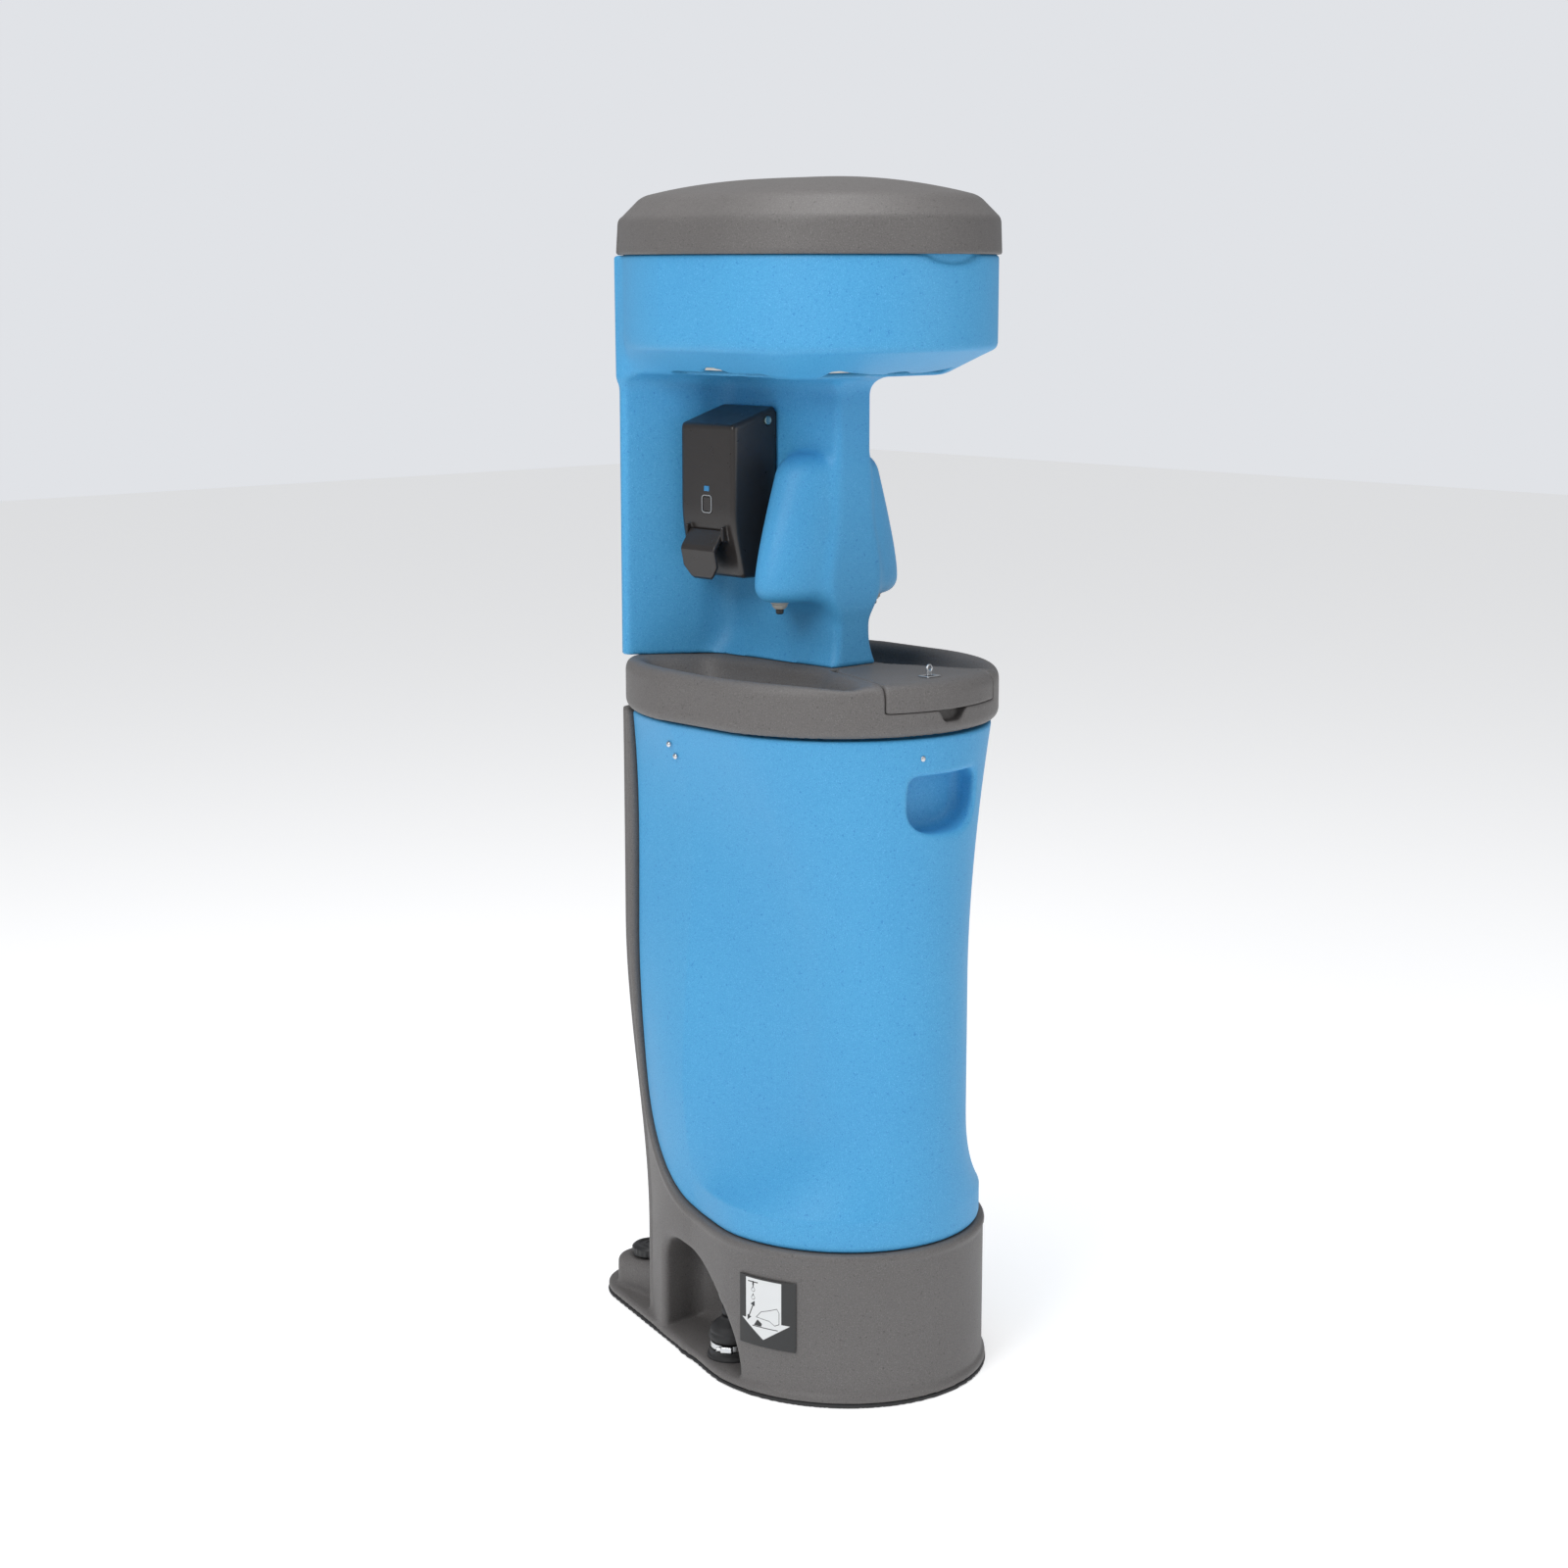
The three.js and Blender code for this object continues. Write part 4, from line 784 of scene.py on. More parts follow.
# ---- Tank caps ----
# Black screw caps: the ribbed fill cap over the filling neck, and the low waste cap with a ring on its top.
# Each is one turned surface whose rim is scalloped for grip.


def soften(points, radius, steps=5):
    """The polyline with each corner replaced by a parabola that starts at most radius from it."""
    p = np.array(points, float)
    out = [p[:1]]
    t = np.linspace(0, 1, steps)[:, None]
    for a, b, c in zip(p[:-2], p[1:-1], p[2:]):
        before = min(radius, 0.49 * np.linalg.norm(a - b))
        after = min(radius, 0.49 * np.linalg.norm(c - b))
        start = b + (a - b) * before / np.linalg.norm(a - b)
        end = b + (c - b) * after / np.linalg.norm(c - b)
        out.append((1 - t) ** 2 * start + 2 * t * (1 - t) * b + t**2 * end)
    return np.concatenate(out + [p[-1:]])


def turned(name, profile, place, sides=64, grip=0.0, ribs=0, along="z"):
    """A surface of revolution: radius and height along the profile, once round the axis. The radius varies by
    grip times the cosine of ribs turns where the profile is steep. Points on the axis are shared."""
    profile = np.array(profile, float)
    r, h = profile[:, :1], profile[:, 1:]
    turn = np.linspace(0, 2 * np.pi, sides, endpoint=False)[None, :]
    steep = np.abs(np.gradient(h[:, 0])) / (np.hypot(np.gradient(h[:, 0]), np.gradient(r[:, 0])) + 1e-9)
    scallop = grip * (steep[:, None] > 0.8) * (r > 0.6 * r.max()) * np.cos(ribs * turn)
    radius = r + scallop
    ring = [radius * np.cos(turn), radius * np.sin(turn), h + 0 * turn]
    ring = {"z": ring, "d": [ring[0], -ring[2], ring[1]], "x": [ring[2], ring[0], ring[1]],
            "-x": [-ring[2], ring[0], -ring[1]]}[along]
    points = np.stack(ring, 2) + np.array(place, float)
    index = np.arange(points.shape[0] * sides).reshape(-1, sides)
    index[0] = index[0, 0] if profile[0, 0] < 1e-6 else index[0]
    index[-1] = index[-1, 0] if profile[-1, 0] < 1e-6 else index[-1]
    if np.allclose(profile[0], profile[-1]):
        index[-1] = index[0]
    right = np.roll(index, -1, axis=1)
    quads = np.stack([index[:-1], right[:-1], right[1:], index[1:]], 2).reshape(-1, 4)
    faces = [list(dict.fromkeys(q)) for q in quads.tolist()]
    used = np.unique(np.concatenate([np.array(f) for f in faces]))
    number = {old: new for new, old in enumerate(used.tolist())}
    return surface(name, points.reshape(-1, 3)[used], [[number[i] for i in f] for f in faces if len(f) > 2])


black_plastic = plain_material("black_polypropylene", (0.016, 0.016, 0.017), 0.42)
fill_cap_profile = soften(
    [(0, 22), (33, 22), (33, 0), (37, 0), (37, 26), (30, 28), (18, 28), (16, 26.5), (0, 26.5)], 2
)
fill_cap = turned("fill_cap_turned", fill_cap_profile, (0, fill_d, tank_top + 2), 144, 0.5, 24)
finish(fill_cap, black_plastic, "black_plastic", "fill_cap_body", "fill_cap")
waste_cap_place = (waste_cap_x, waste_cap_d, drain_box_top - 14)
waste_cap_profile = soften(
    [(0, 0), (17, 0), (17, 14.3), (29, 14.3), (29, 25), (25, 28), (20, 28), (19, 26.4),
     (14, 26.4), (13, 27.8), (10, 27.8), (9, 26.6), (0, 26.6)], 1.2
)  # fmt: skip
waste_cap = turned("waste_cap_turned", waste_cap_profile, waste_cap_place, 144, 0.45, 24)
finish(waste_cap, black_plastic, "black_plastic", "waste_cap_body", "waste_cap")

# ---- Lock staple, pins and rivets ----
# Bright steel: a flat staple with a round eye that stands up through a slotted plate on the hatch lid, the
# two hinge pins, and domed rivets on the fresh tank.


def box_distance(x, d, z, xs, ds, zs, round_by):
    """Distance to a box with round edges."""
    q = [np.abs(v - (a + b) / 2) - (b - a) / 2 + round_by for v, (a, b) in ((x, xs), (d, ds), (z, zs))]
    outside = np.sqrt(sum(np.maximum(v, 0) ** 2 for v in q))
    return outside + np.minimum(np.maximum(np.maximum(q[0], q[1]), q[2]), 0) - round_by


steel = plain_material("bright_steel", (0.62, 0.63, 0.64), 0.3, 1.0, 40, 0.00005)


def staple(x, d, z):
    eye_z = rim_height + 11
    stem = box_distance(x, d, z, (-4.4, 4.4), (44.5, 47.5), (lid_bottom + air, eye_z), 0.8)
    eye = smooth_max(np.hypot(x, z - eye_z) - 5.2, np.abs(d - staple_d) - 1.5, 1.2)
    body = smooth_min(stem, eye, 2)
    foot = box_distance(x, d, z, (-11, 11), (38, 54), (lid_bottom + air, lid_bottom + 2), 0.5)
    body = smooth_min(body, foot, 1)
    return smooth_max(body, 3.3 - np.hypot(x, z - eye_z), 1)


staple_piece = moulding(
    "staple_eye", staple, spaced((-13, 13, 0.7)), spaced((36, 56, 0.6)), spaced((928, 984, 0.7))
)
finish(staple_piece, steel, "steel", "stand", "lock_staple")


def lock_plate(x, d, z):
    plate = box_distance(x, d, z, (-13, 13), (35, 55), (rim_height + air, rim_height + 1.6), 0.6)
    corners = np.hypot(np.maximum(np.abs(x) - 9, 0), np.maximum(np.abs(d - 45) - 6, 0)) - 4
    plate = smooth_max(plate, corners, 1)
    return smooth_max(plate, -smooth_max(np.abs(x) - 7.5, np.abs(d - 45) - 5, 2), 0.6)


plate_piece = moulding(
    "slotted_plate",
    lock_plate,
    spaced((-14, 14, 0.6)),
    spaced((34, 56, 0.6)),
    spaced((965.6, 968.4, 0.4)),
)
finish(plate_piece, steel, "steel", "hatch_lid_body", "lock_plate")
rivet_profile = soften([(0, 3), (2.2, 2.7), (3.9, 1.2), (4, 0), (0, 0)], 1)[::-1]
for rivet, along in (
    ("rivet_front", "d"),
    ("rivet_left_1", "-x"),
    ("rivet_left_2", "-x"),
    ("rivet_right_1", "x"),
    ("rivet_right_2", "x"),
):
    low, high = (1000 * Vector(c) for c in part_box(rivet))
    middle = (low + high) / 2
    back_x = {"d": middle.x, "x": low.x, "-x": high.x}[along]
    back_d = high.y if along == "d" else middle.y
    place = (back_x, back_d - 1000 * front_of_basin, middle.z)
    finish(turned(rivet + "_dome", rivet_profile, place, 32, along=along), steel, "steel", "stand", rivet)


def coat(node_name, material):
    """Shows a CAD node as it is, in a material of this file."""
    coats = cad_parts[node_name].data.materials
    coats.clear()
    coats.append(material)


coat("hatch_pin", steel)
coat("cap_pin", steel)

# ---- Drains and hoses ----
# A pressed steel strainer in each bowl, the drain pipes below, and the water hoses that run from the foot
# pumps through the tanks and up the tower to the spouts.


def strainer(x, d, z):
    r = np.hypot(x, d)
    disc = smooth_max(r - 22, z - 912.6 + 0.004 * r * r, 1.2)
    disc = smooth_max(disc, bowl_floor + 0.4 - z, 0.6)
    turn = np.arctan2(d, x)
    for count, ring, hole in ((6, 8, 2.4), (12, 15.5, 2.1)):
        step = 2 * np.pi / count
        local = (turn + step / 2) % step - step / 2
        disc = np.maximum(disc, hole - np.hypot(r * np.cos(local) - ring, r * np.sin(local)))
    return disc


white_plastic = plain_material("white_tube", (0.6, 0.61, 0.6), 0.4)


def spline(points, count):
    """Points along a centripetal curve through the points, as Catmull-Rom pieces with knots at root
    distances."""
    p = np.array(points, float)
    p = np.vstack([2 * p[0] - p[1], p, 2 * p[-1] - p[-2]])
    knots = np.concatenate([[0], np.cumsum(np.linalg.norm(np.diff(p, axis=0), axis=1) ** 0.5)])
    t = np.linspace(knots[1], knots[-2], count)
    i = np.clip(np.searchsorted(knots, t, side="right") - 1, 1, len(p) - 3)
    k = [knots[i + j][:, None] for j in (-1, 0, 1, 2)]
    q = [p[i + j] for j in (-1, 0, 1, 2)]
    t = t[:, None]
    mix = lambda a, b, ka, kb: ((kb - t) * a + (t - ka) * b) / (kb - ka)
    a = [mix(q[j], q[j + 1], k[j], k[j + 1]) for j in range(3)]
    b = [mix(a[j], a[j + 1], k[j], k[j + 2]) for j in range(2)]
    return mix(b[0], b[1], k[1], k[2])


def tube(name, route, radius, sides=20):
    """A round tube: rings of points round the route, each in the plane across it, with both ends closed."""
    ahead = np.gradient(route, axis=0)
    ahead /= np.linalg.norm(ahead, axis=1)[:, None]
    across = np.cross(ahead, [1.0, 0.15, 0.1])
    across /= np.linalg.norm(across, axis=1)[:, None]
    other = np.cross(ahead, across)
    turn = np.linspace(0, 2 * np.pi, sides, endpoint=False)
    ring = np.cos(turn)[None, :, None] * across[:, None] + np.sin(turn)[None, :, None] * other[:, None]
    points = (route[:, None] + radius * ring).reshape(-1, 3)
    index = np.arange(len(points)).reshape(-1, sides)
    right = np.roll(index, -1, axis=1)
    faces = np.stack([index[:-1], right[:-1], right[1:], index[1:]], 2).reshape(-1, 4).tolist()
    return surface(name, points, faces + [index[0][::-1].tolist(), index[-1].tolist()])


pump_x, pump_d = 146, 268
supply_spigot, suction_spigot = 12, 25.5
strainer_x, strainer_d = 112, 300
for side, s in (("left", -1), ("right", 1)):
    dish = moulding(
        "strainer_disc_" + side,
        strainer,
        spaced((-23, 23, 0.9)),
        spaced((-23, 23, 0.9)),
        spaced((909.6, 914, 0.7)),
    )
    dish.data.transform(Matrix.Translation((0.001 * s * strainer_x, 0.001 * strainer_d, 0)))
    finish(dish, steel, "steel", "stand", "drain_strainer_" + side)
    supply = [
        (97.4, pump_d + supply_spigot, 23.6), (86, 281, 24.6), (58, 306, 34), (34, 390, 46), (22, 442, 84),
        (20, 462, 170), (20, 462, 400), (20, 462, 700), (20, 462, 900), (20, 462, 990), (18, 440, 1055),
        (16, 380, 1102), (14, 310, 1130), (22, 262, 1140), (50, 241, 1138), (76, wing_d, 1122),
        (spout_x, wing_d, 1096), (spout_x, wing_d, 1072.3),
    ]  # fmt: skip
    suction = [
        (97.4, pump_d + suction_spigot, 23.6), (90, pump_d + suction_spigot, 23.6), (84, 322, 34),
        (88, 352, 66), (88, 352, 140), (88, 352, 236),
    ]  # fmt: skip
    for label, route in (("supply", supply), ("suction", suction)):
        points = spline([(s * x, d, z) for x, d, z in route], 160 if label == "supply" else 60)
        hose = tube("%s_tube_%s" % (label, side), points, 5.9)
        finish(hose, white_plastic, "white_pipe", "stand", "%s_hose_%s" % (label, side))
    coat("drain_pipe_" + side, white_plastic)

# ---- Spouts ----
# Under each wing a stepped grey nozzle collar with a black tip. Each is one turned surface, and the collar
# is scalloped for grip.
collar_plastic = plain_material("collar_plastic", (0.36, 0.35, 0.32), 0.45)
collar_profile = soften(
    [(4, 16), (8.7, 16), (8.7, -0.3), (11.5, -0.3), (11.5, -5.2), (9.8, -6.6), (9.8, -9.4), (7.6, -10.2),
     (7.6, -12), (4, -12), (4, 16)][::-1], 0.8
)  # fmt: skip
tip_profile = soften([(2, -12.3), (5.2, -12.3), (5.2, -17.4), (4.2, -19), (2, -19), (2, -12.3)][::-1], 0.7)
for side, s in (("left", -1), ("right", 1)):
    place = (s * spout_x, wing_d, 1056)
    collar = turned("nozzle_collar_" + side, collar_profile, place, 72, 0.25, 24)
    finish(collar, collar_plastic, "grey_collar", "stand", "spout_collar_" + side)
    tip = turned("nozzle_tip_" + side, tip_profile, place, 40)
    finish(tip, black_plastic, "black_plastic", "stand", "spout_tip_" + side)

# ---- Soap dispensers ----
# A dark box on each side of the column: a back plate with a shelf, a hinged cover with a sloped top and a
# tapered foot, a small framed window, a badge, a round lock, and a push lever that hangs from two ears. The
# shapes are drawn for the right side.
soap_d, soap_out, soap_low, soap_high = (296, 402), 113, 1079, 1304
soap_middle, taper_height, soap_slope = sum(soap_d) / 2, 1151, 23
lock_x, lock_z, valve_x = 52, 1286, 66
soap_plastic = plain_material("dispenser_plastic", (0.024, 0.02, 0.0185), 0.3, 0.0, 90, 0.00012)
window_plastic = plain_material("window_plastic", (0.03, 0.027, 0.026), 0.12)
frame_plastic = plain_material("window_frame_plastic", (0.3, 0.31, 0.32), 0.3)
lock_steel = plain_material("lock_steel", (0.3, 0.4, 0.39), 0.35, 0.9)
badge_plastic = plain_material("badge_plastic", (0.03, 0.2, 0.42), 0.4)
pouch_film = plain_material("pouch_film", (0.62, 0.66, 0.68), 0.25)


def on_side(field, s):
    """The field of a piece drawn for the right side, moved to the side s, which is 1 or -1."""
    return lambda x, d, z: field(s * x, d, z)


def outward(s, a, b, gap):
    """Grid lines on the side s, from a to b away from the middle."""
    return spaced((a, b, gap)) if s > 0 else -spaced((a, b, gap))[::-1]


def soap_box(x, d, z, inset):
    """Distance to the cover's outline: out to soap_out, with the taper below and the slope above."""
    taper = (x - soap_out) * 0.97 - (z - taper_height) * 0.2425
    slope = (x - soap_out) * 0.293 + (z - soap_high + soap_slope) * 0.956
    body = smooth_max(smooth_max(x - soap_out, taper, 6), slope, 5)
    body = smooth_max(body, soap_low - z, 6)
    return smooth_max(body, np.abs(d - soap_middle) - (soap_d[1] - soap_d[0]) / 2, 7) + inset


def soap_cover(x, d, z):
    body = np.maximum(soap_box(x, d, z, 0), -soap_box(x, d, z, 2.6))
    body = smooth_max(body, 38 - x, 1.5)
    ears = np.minimum(np.abs(d - 314.0), np.abs(d - 384.0)) - 1.9
    ears = smooth_max(ears, box_distance(x, d, z, (104, 119), (300, 398), (1128, 1148), 3), 1)
    body = smooth_min(body, ears, 1.5)
    outlet = box_distance(x, d, z, (56, 86), (332, 366), (1070, 1085), 2)
    body = np.maximum(body, -np.maximum(outlet, -9))
    window = box_distance(x, d, z, (104, 120), (340, 358), (1166, 1186), 2)
    body = smooth_max(body, -window, 1)
    return np.maximum(body, 6.3 - np.maximum(np.hypot(x - lock_x, z - lock_z), d - 304))


def soap_back(x, d, z):
    plate = box_distance(x, d, z, (column_half + air, 37.3), (299, 399), (1091, 1298), 2)
    shelf = box_distance(x, d, z, (column_half + air, 80), (325, 373), (1100, 1103), 1.2)
    bore = np.maximum(np.hypot(x - valve_x, d - soap_middle), np.abs(z - 1101) - 3)
    return smooth_max(smooth_min(plate, shelf, 5), 9.4 - bore, 1)


lever_outline = [
    (113.6, 1143), (129, 1122), (131, 1116), (123, 1080),
    (119, 1076), (119, 1081), (126, 1114), (113.6, 1134),
]  # fmt: skip


def segment_distance(u, v, start, end):
    """Distance to a straight line between two points of a plane."""
    (a, b), (c, e) = start, end
    along = np.clip(((u - a) * (c - a) + (v - b) * (e - b)) / ((c - a) ** 2 + (e - b) ** 2), 0, 1)
    return np.hypot(u - a - along * (c - a), v - b - along * (e - b))


def polygon_distance(u, v, points):
    """Distance to a closed polygon in a plane, negative inside."""
    best = np.full(np.shape(u), 1e9)
    inside = np.zeros(np.shape(u), bool)
    for (a, b), (c, e) in zip(points, points[1:] + points[:1]):
        best = np.minimum(best, segment_distance(u, v, (a, b), (c, e)))
        crosses = ((b > v) != (e > v)) & (u < (c - a) * (v - b) / (e - b + 1e-12) + a)
        inside ^= crosses
    return np.where(inside, -best, best)


def soap_lever(x, d, z):
    body = polygon_distance(x, z, lever_outline)
    side = np.abs(d - soap_middle) - 33
    body = smooth_max(body, side, 1.5)
    return smooth_max(body, (side + 0.9 * (1093 - z)) * 0.74, 2)


def soap_window(x, d, z):
    return box_distance(x, d, z, (110.5, 112.6), (340.3, 357.7), (1166.3, 1185.7), 0.8)


def window_frame(x, d, z):
    """Distance to the window's thin rim and the small catch at its top, both proud of the cover."""
    layer = np.maximum(x - 113.7, 112.7 - x)
    outline = box_distance(x, d, z, (100, 125), (339, 359), (1164, 1188), 5)
    catch = box_distance(x, d, z, (112.7, 113.7), (345, 353), (1182, 1187), 0.5)
    rim = np.minimum(np.abs(outline + 0.7) - 0.7, np.abs(catch + 0.9) - 0.6)
    return np.maximum(rim, layer)


for side, s in (("left", -1), ("right", 1)):
    cover_body = "soap_cover_body_" + side
    back = moulding(
        "dispenser_back_" + side,
        on_side(soap_back, s),
        outward(s, 31, 82, 1.6),
        spaced((297, 401, 2.6)),
        spaced((1089, 1300, 2.2)),
    )
    finish(back, soap_plastic, "soap_black", "stand", "soap_back_" + side)
    cover = moulding(
        "dispenser_cover_" + side,
        on_side(soap_cover, s),
        outward(s, 36, 121, 1.9),
        spaced((293, 405, 1.9)),
        spaced((1077, 1306, 1.9)),
    )
    finish(cover, soap_plastic, "soap_black", cover_body, "soap_cover_" + side)
    pane = moulding(
        "dispenser_window_" + side,
        on_side(soap_window, s),
        outward(s, 109, 115, 0.6),
        spaced((339, 359, 0.6)),
        spaced((1165, 1187, 0.6)),
    )
    finish(pane, window_plastic, "clear_window", cover_body, "soap_window_" + side)
    window_rim = moulding(
        "dispenser_window_frame_" + side,
        on_side(window_frame, s),
        outward(s, 112.2, 114.2, 0.4),
        spaced((338, 360, 0.5)),
        spaced((1163, 1189, 0.5)),
    )
    finish(window_rim, frame_plastic, "clear_window", cover_body)
    badge = moulding(
        "dispenser_badge_" + side,
        lambda x, d, z: box_distance(s * x, d, z, (112.4, 113.8), (344, 354), (1193, 1200), 0.5),
        outward(s, 112, 114.2, 0.4),
        spaced((343, 355, 0.8)),
        spaced((1192, 1201, 0.8)),
    )
    finish(badge, badge_plastic, "soap_black", cover_body)
    lever = moulding(
        "dispenser_lever_" + side,
        on_side(soap_lever, s),
        outward(s, 112, 133, 1.2),
        spaced((314, 384, 1.5)),
        spaced((1074, 1145, 1.2)),
    )
    finish(lever, soap_plastic, "soap_black", "soap_lever_body_" + side, "soap_lever_" + side)
    lock_profile = soften([(0, -4), (5.8, -4), (5.8, 1.4), (4.6, 2), (3.4, 1.4), (0, 1.4)], 0.5)
    lock = turned("dispenser_lock_" + side, lock_profile, (s * lock_x, soap_d[0], lock_z), 40, along="d")
    finish(lock, lock_steel, "steel", "soap_lock_body_" + side, "soap_lock_" + side)
    valve_profile = soften([(0, 0), (4, 0), (6, 14), (9, 16), (9, 34.7), (0, 34.7)], 1)
    valve = turned("pouch_valve_" + side, valve_profile, (s * valve_x, soap_middle, 1081), 40)
    finish(valve, black_plastic, "black_plastic", "stand", "soap_valve_" + side)
    pouch = moulding(
        "pouch_" + side,
        lambda x, d, z: box_distance(s * x, d, z, (45, 87), (317, 381), (1116.2, 1263), 20),
        outward(s, 43, 89, 2.4),
        spaced((315, 383, 2.8)),
        spaced((1114, 1265, 3)),
    )
    finish(pouch, pouch_film, "soap_pouch", "stand", "soap_pouch_" + side)

# ---- Paper towels ----
# Three stacks of folded towels on the housing's floor, one at each slot. Each fills its CAD node's box, and
# its sides ripple at the folds.
paper = plain_material("towel_paper", (0.8, 0.78, 0.72), 0.9, 0.0, 30, 0.0004)
for side in ("front", "left", "right"):
    low, high = (1000 * Vector(c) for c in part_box("towels_" + side))
    front = 1000 * front_of_basin
    spans = [(low.x, high.x), (low.y - front, high.y - front), (low.z, high.z)]
    stack = moulding(
        "towel_stack_" + side,
        lambda x, d, z: box_distance(x, d, z, *spans, 3) + 0.5 * np.cos(z * 2 * np.pi / 9),
        *[spaced((a - 2, b + 2, gap)) for (a, b), gap in zip(spans, (3.4, 3.4, 1.5))],
    )
    finish(stack, paper, "paper_towel", "stand", "towels_" + side)

# ---- Foot pumps ----
# A rubber pump in each foot arch: a base with two hose spigots, a squashed dome of bellows held by a steel
# clamp, and a knob on top.
pump_floor = plate_top + air


def pump_base(x, d, z):
    px, pd, pz = x - pump_x, d - pump_d, z - pump_floor
    r = np.hypot(px, pd)
    foot = smooth_max(smooth_max(r - 34, pz - 5.2, 2.5), -pz, 0.6)
    body = smooth_min(foot, smooth_max(r - 31, np.maximum(pz - 14, 1 - pz), 1.5), 3)
    for spigot in (supply_spigot, suction_spigot):
        pipe = np.hypot(pd - spigot, pz - 7)
        barb = 0.35 * np.cos((px + 48) * 2 * np.pi / 4.5)
        body = smooth_min(body, np.maximum(pipe - 4.8 - barb, np.maximum(px + 14, -48 - px)), 1.5)
    return body


def pump_clamp(x, d, z):
    px, pd, pz = x - pump_x, d - pump_d, z - pump_floor
    r = np.hypot(px, pd)
    band = np.maximum(np.abs(r - 28.85) - 0.95, np.abs(pz - 19) - 4)
    lean = 0.6
    along, out = px * np.cos(lean) - pd * np.sin(lean), px * np.sin(lean) + pd * np.cos(lean)
    housing = box_distance(out, along, pz, (-8, 8), (29, 35), (14.6, 23.4), 1.6)
    screw = np.maximum(np.hypot(along - 32, pz - 19) - 3, np.abs(out - 11) - 3)
    screw = np.maximum(screw, -np.maximum(np.abs(pz - 19) - 0.6, 12.8 - out))
    return np.minimum(smooth_min(band, housing, 1), screw)


bellows_profile = soften(
    [(0, 14.3), (26.5, 14.3), (26.5, 23.5), (31.4, 26), (32, 33), (29.5, 36.5), (30.4, 40), (26.5, 46.5),
     (21, 50.5), (15.5, 55), (14, 58), (0, 58)], 3
)  # fmt: skip
button_profile = soften([(0, 58.3), (11, 58.3), (14, 62), (14, 69.5), (11, 74), (6, 75), (5, 74), (0, 74)], 2)
for side, s in (("left", -1), ("right", 1)):
    place = (s * pump_x, pump_d, pump_floor)
    base = moulding(
        "pump_foot_" + side,
        on_side(pump_base, s),
        outward(s, 96, 182, 1.3),
        spaced((232, 304, 1.3)),
        spaced((15.6, 31, 1.1)),
    )
    finish(base, rubber, "pump_rubber", "stand", "pump_base_" + side)
    clamp = moulding(
        "pump_band_" + side,
        on_side(pump_clamp, s),
        outward(s, 114, 184, 0.9),
        spaced((232, 304, 0.9)),
        spaced((29, 41, 0.7)),
    )
    finish(clamp, steel, "steel", "stand", "pump_clamp_" + side)
    bellows = turned("pump_dome_" + side, bellows_profile, place, 72)
    finish(bellows, rubber, "pump_rubber", "stand", "pump_bellows_" + side)
    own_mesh(bellows)
    knob = turned("pump_knob_" + side, button_profile, place, 64)
    finish(knob, rubber, "pump_rubber", "pump_body_" + side, "pump_button_" + side)

# ---- Pump labels ----
# A black sticker beside each foot arch, laid on the tank's skin. Its white arrow points down, and on the
# arrow are a tap with two drops, a double arrow and a foot on a pedal, all plain shapes with no lettering.
label_d, label_z = (112, 196), (72, 168)


def line_distance(u, v, points, width):
    """Distance to a drawn line through the points."""
    return np.min([segment_distance(u, v, a, b) for a, b in zip(points, points[1:])], axis=0) - width / 2


def label_arrow(u, v):
    outline = [(-31, 45), (23, 45), (23, -12), (35, -12), (-3, -38), (-38, -12), (-31, -12)]
    return polygon_distance(u, v, outline)


def label_drawing(u, v):
    """Distance to the drawings on the arrow: tap, drops, double arrow, foot, pedal and ground."""
    marks = [line_distance(u, v, [(-27, 40), (-12, 40)], 1.6)]
    marks.append(line_distance(u, v, [(-19, 40), (-19, 36)], 2.6))
    for drop in (29, 18):
        point = line_distance(u, v, [(-19, drop), (-19, drop + 5)], 1)
        ring = smooth_min(np.hypot(u + 19, v - drop) - 2.6, point, 2)
        marks.append(np.abs(ring) - 0.4)
    marks.append(line_distance(u, v, [(-26, -9), (-19, 8)], 1.6))
    marks.append(polygon_distance(u, v, [(-16.5, 14), (-23.5, 8.5), (-16.5, 6)]))
    marks.append(polygon_distance(u, v, [(-28.5, -15), (-28.5, -7), (-22, -9.5)]))
    foot = [(-14, -8), (-6, 1), (4, 4), (17, 9), (20, 4), (20, -12), (14, -15), (6, -10), (-4, -9), (-14, -8)]
    marks.append(line_distance(u, v, foot, 0.9))
    marks.append(polygon_distance(u, v, [(-18, -20), (-12, -11), (-5, -16), (-6, -20)]))
    marks.append(line_distance(u, v, [(-20, -21), (18, -21)], 1.2))
    return np.min(marks, axis=0)


label_film = bpy.data.materials.new("label_film")
label_film.use_nodes = True
label_tree = label_film.node_tree
label_shader = label_tree.nodes["Principled BSDF"]
label_shader.inputs["Roughness"].default_value = 0.32


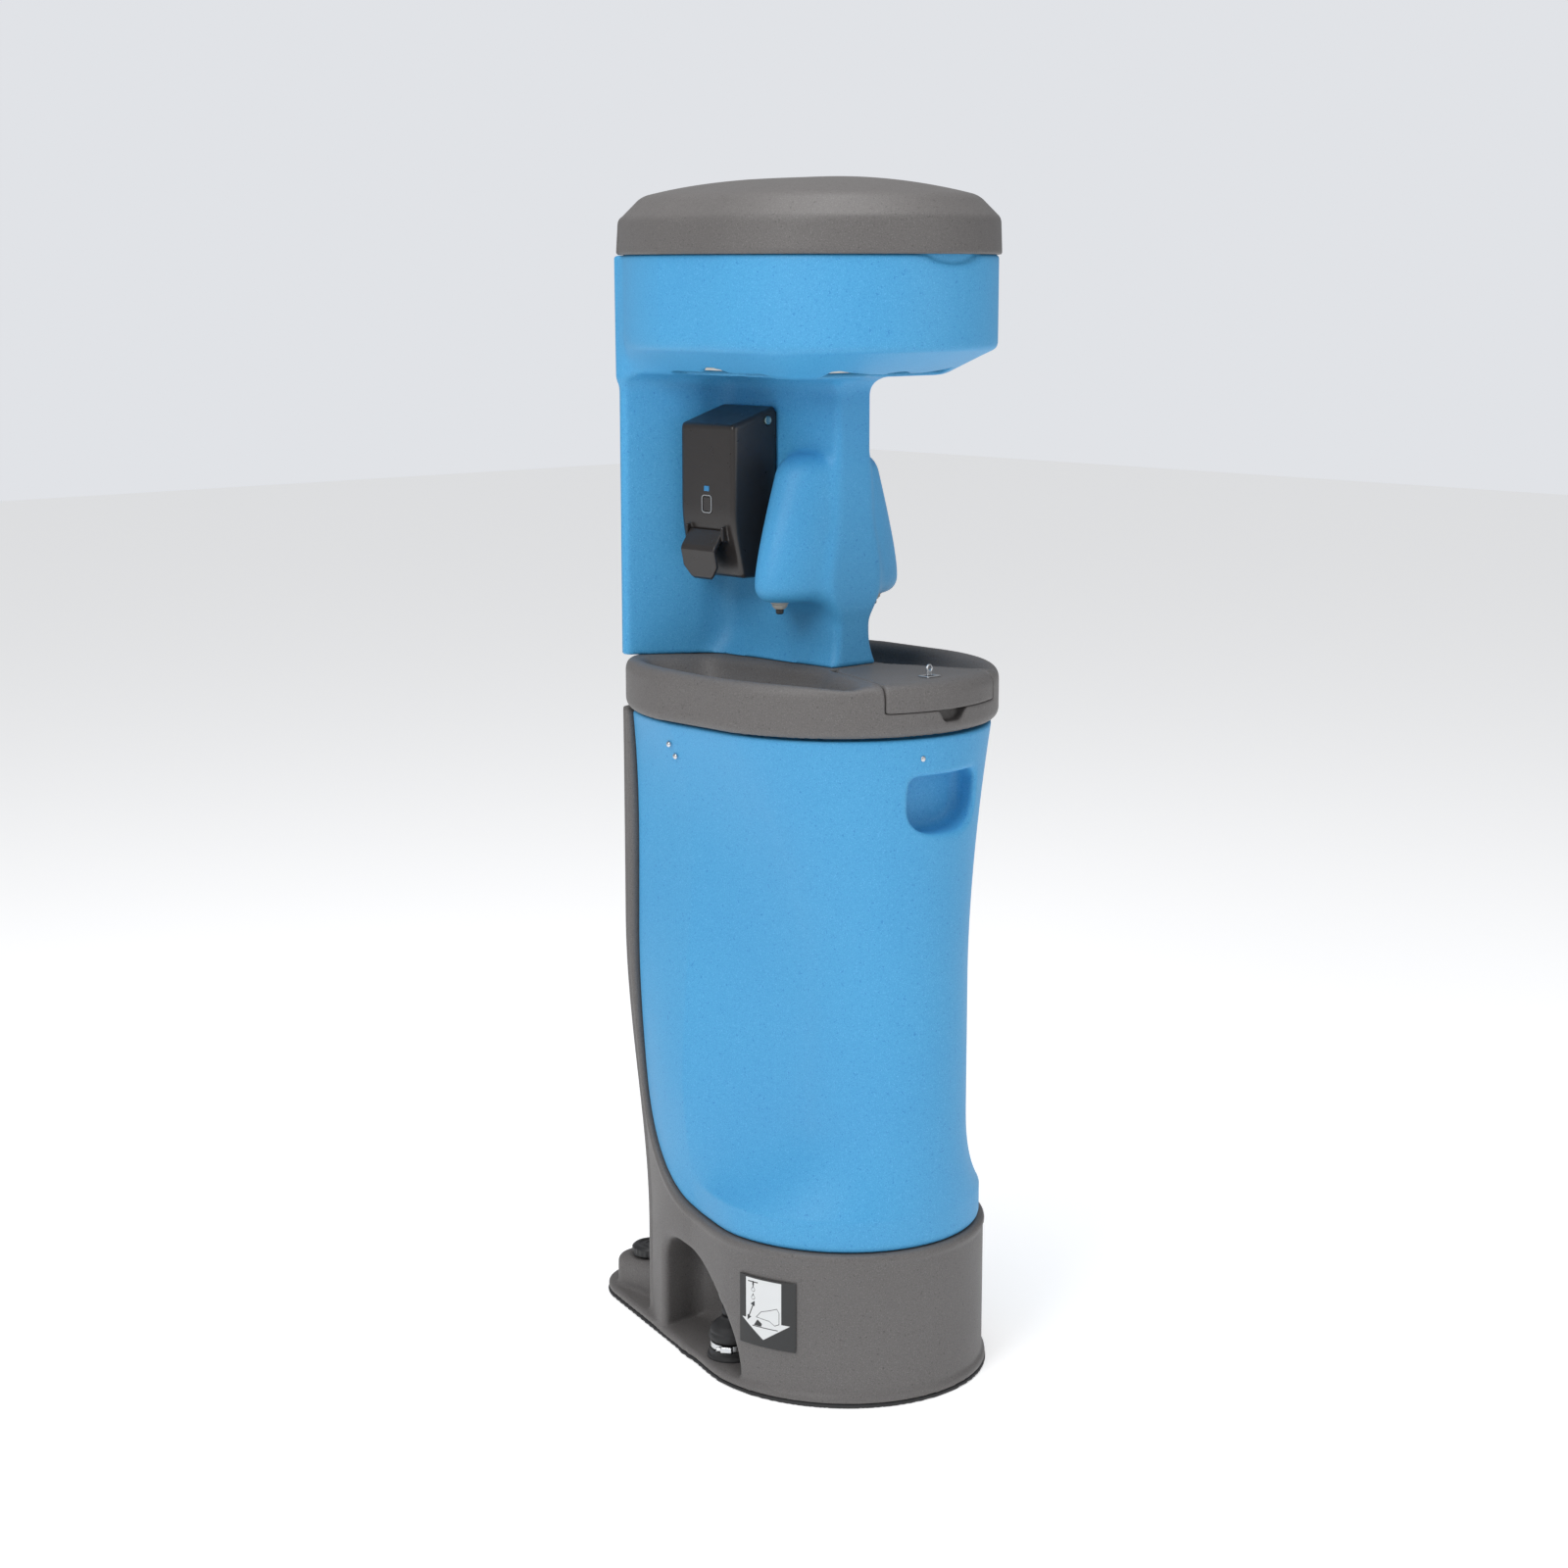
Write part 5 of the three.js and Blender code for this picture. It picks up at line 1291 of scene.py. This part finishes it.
def ink(attribute):
    """A mask that is 1 where the distance held by the attribute is below zero."""
    held = label_tree.nodes.new("ShaderNodeAttribute")
    held.attribute_name = attribute
    edge = label_tree.nodes.new("ShaderNodeMapRange")
    edge.inputs["From Min"].default_value = 0.18
    edge.inputs["From Max"].default_value = -0.18
    label_tree.links.new(held.outputs["Fac"], edge.inputs["Value"])
    return edge.outputs["Result"]


white_area = label_tree.nodes.new("ShaderNodeMath")
white_area.operation = "SUBTRACT"
white_area.use_clamp = True
label_tree.links.new(ink("arrow"), white_area.inputs[0])
label_tree.links.new(ink("drawing"), white_area.inputs[1])
label_mix = label_tree.nodes.new("ShaderNodeMix")
label_mix.data_type = "RGBA"
label_mix.inputs[6].default_value = (0.014, 0.014, 0.014, 1)
label_mix.inputs[7].default_value = (0.68, 0.69, 0.69, 1)
label_tree.links.new(white_area.outputs[0], label_mix.inputs[0])
label_tree.links.new(label_mix.outputs[2], label_shader.inputs["Base Color"])

for side, s in (("left", -1), ("right", 1)):
    d, z = np.meshgrid(np.linspace(*label_d, 113), np.linspace(*label_z, 129), indexing="ij")
    x = np.full_like(d, 190.0)
    for _ in range(12):
        x -= (tank(x, d, z) - lip - 0.6) / ((tank(x + 0.5, d, z) - tank(x - 0.5, d, z)) / 1.0)
    index = np.arange(d.size).reshape(d.shape)
    quads = np.stack([index[:-1, :-1], index[1:, :-1], index[1:, 1:], index[:-1, 1:]], 2).reshape(-1, 4)
    quads = quads if s > 0 else quads[:, ::-1]
    points = np.stack([s * x, d, z], 2).reshape(-1, 3)
    sticker = surface("pump_sticker_" + side, points, quads.tolist())
    across, up = s * (d - sum(label_d) / 2), z - sum(label_z) / 2
    for attribute, value in (("arrow", label_arrow(across, up)), ("drawing", label_drawing(across, up))):
        held = sticker.data.attributes.new(attribute, "FLOAT", "POINT")
        held.data.foreach_set("value", value.ravel().astype(np.float32))
    thickness = sticker.modifiers.new("film", "SOLIDIFY")
    thickness.thickness = 0.0005
    finish(sticker, label_film, "label", "stand", "pump_label_" + side)
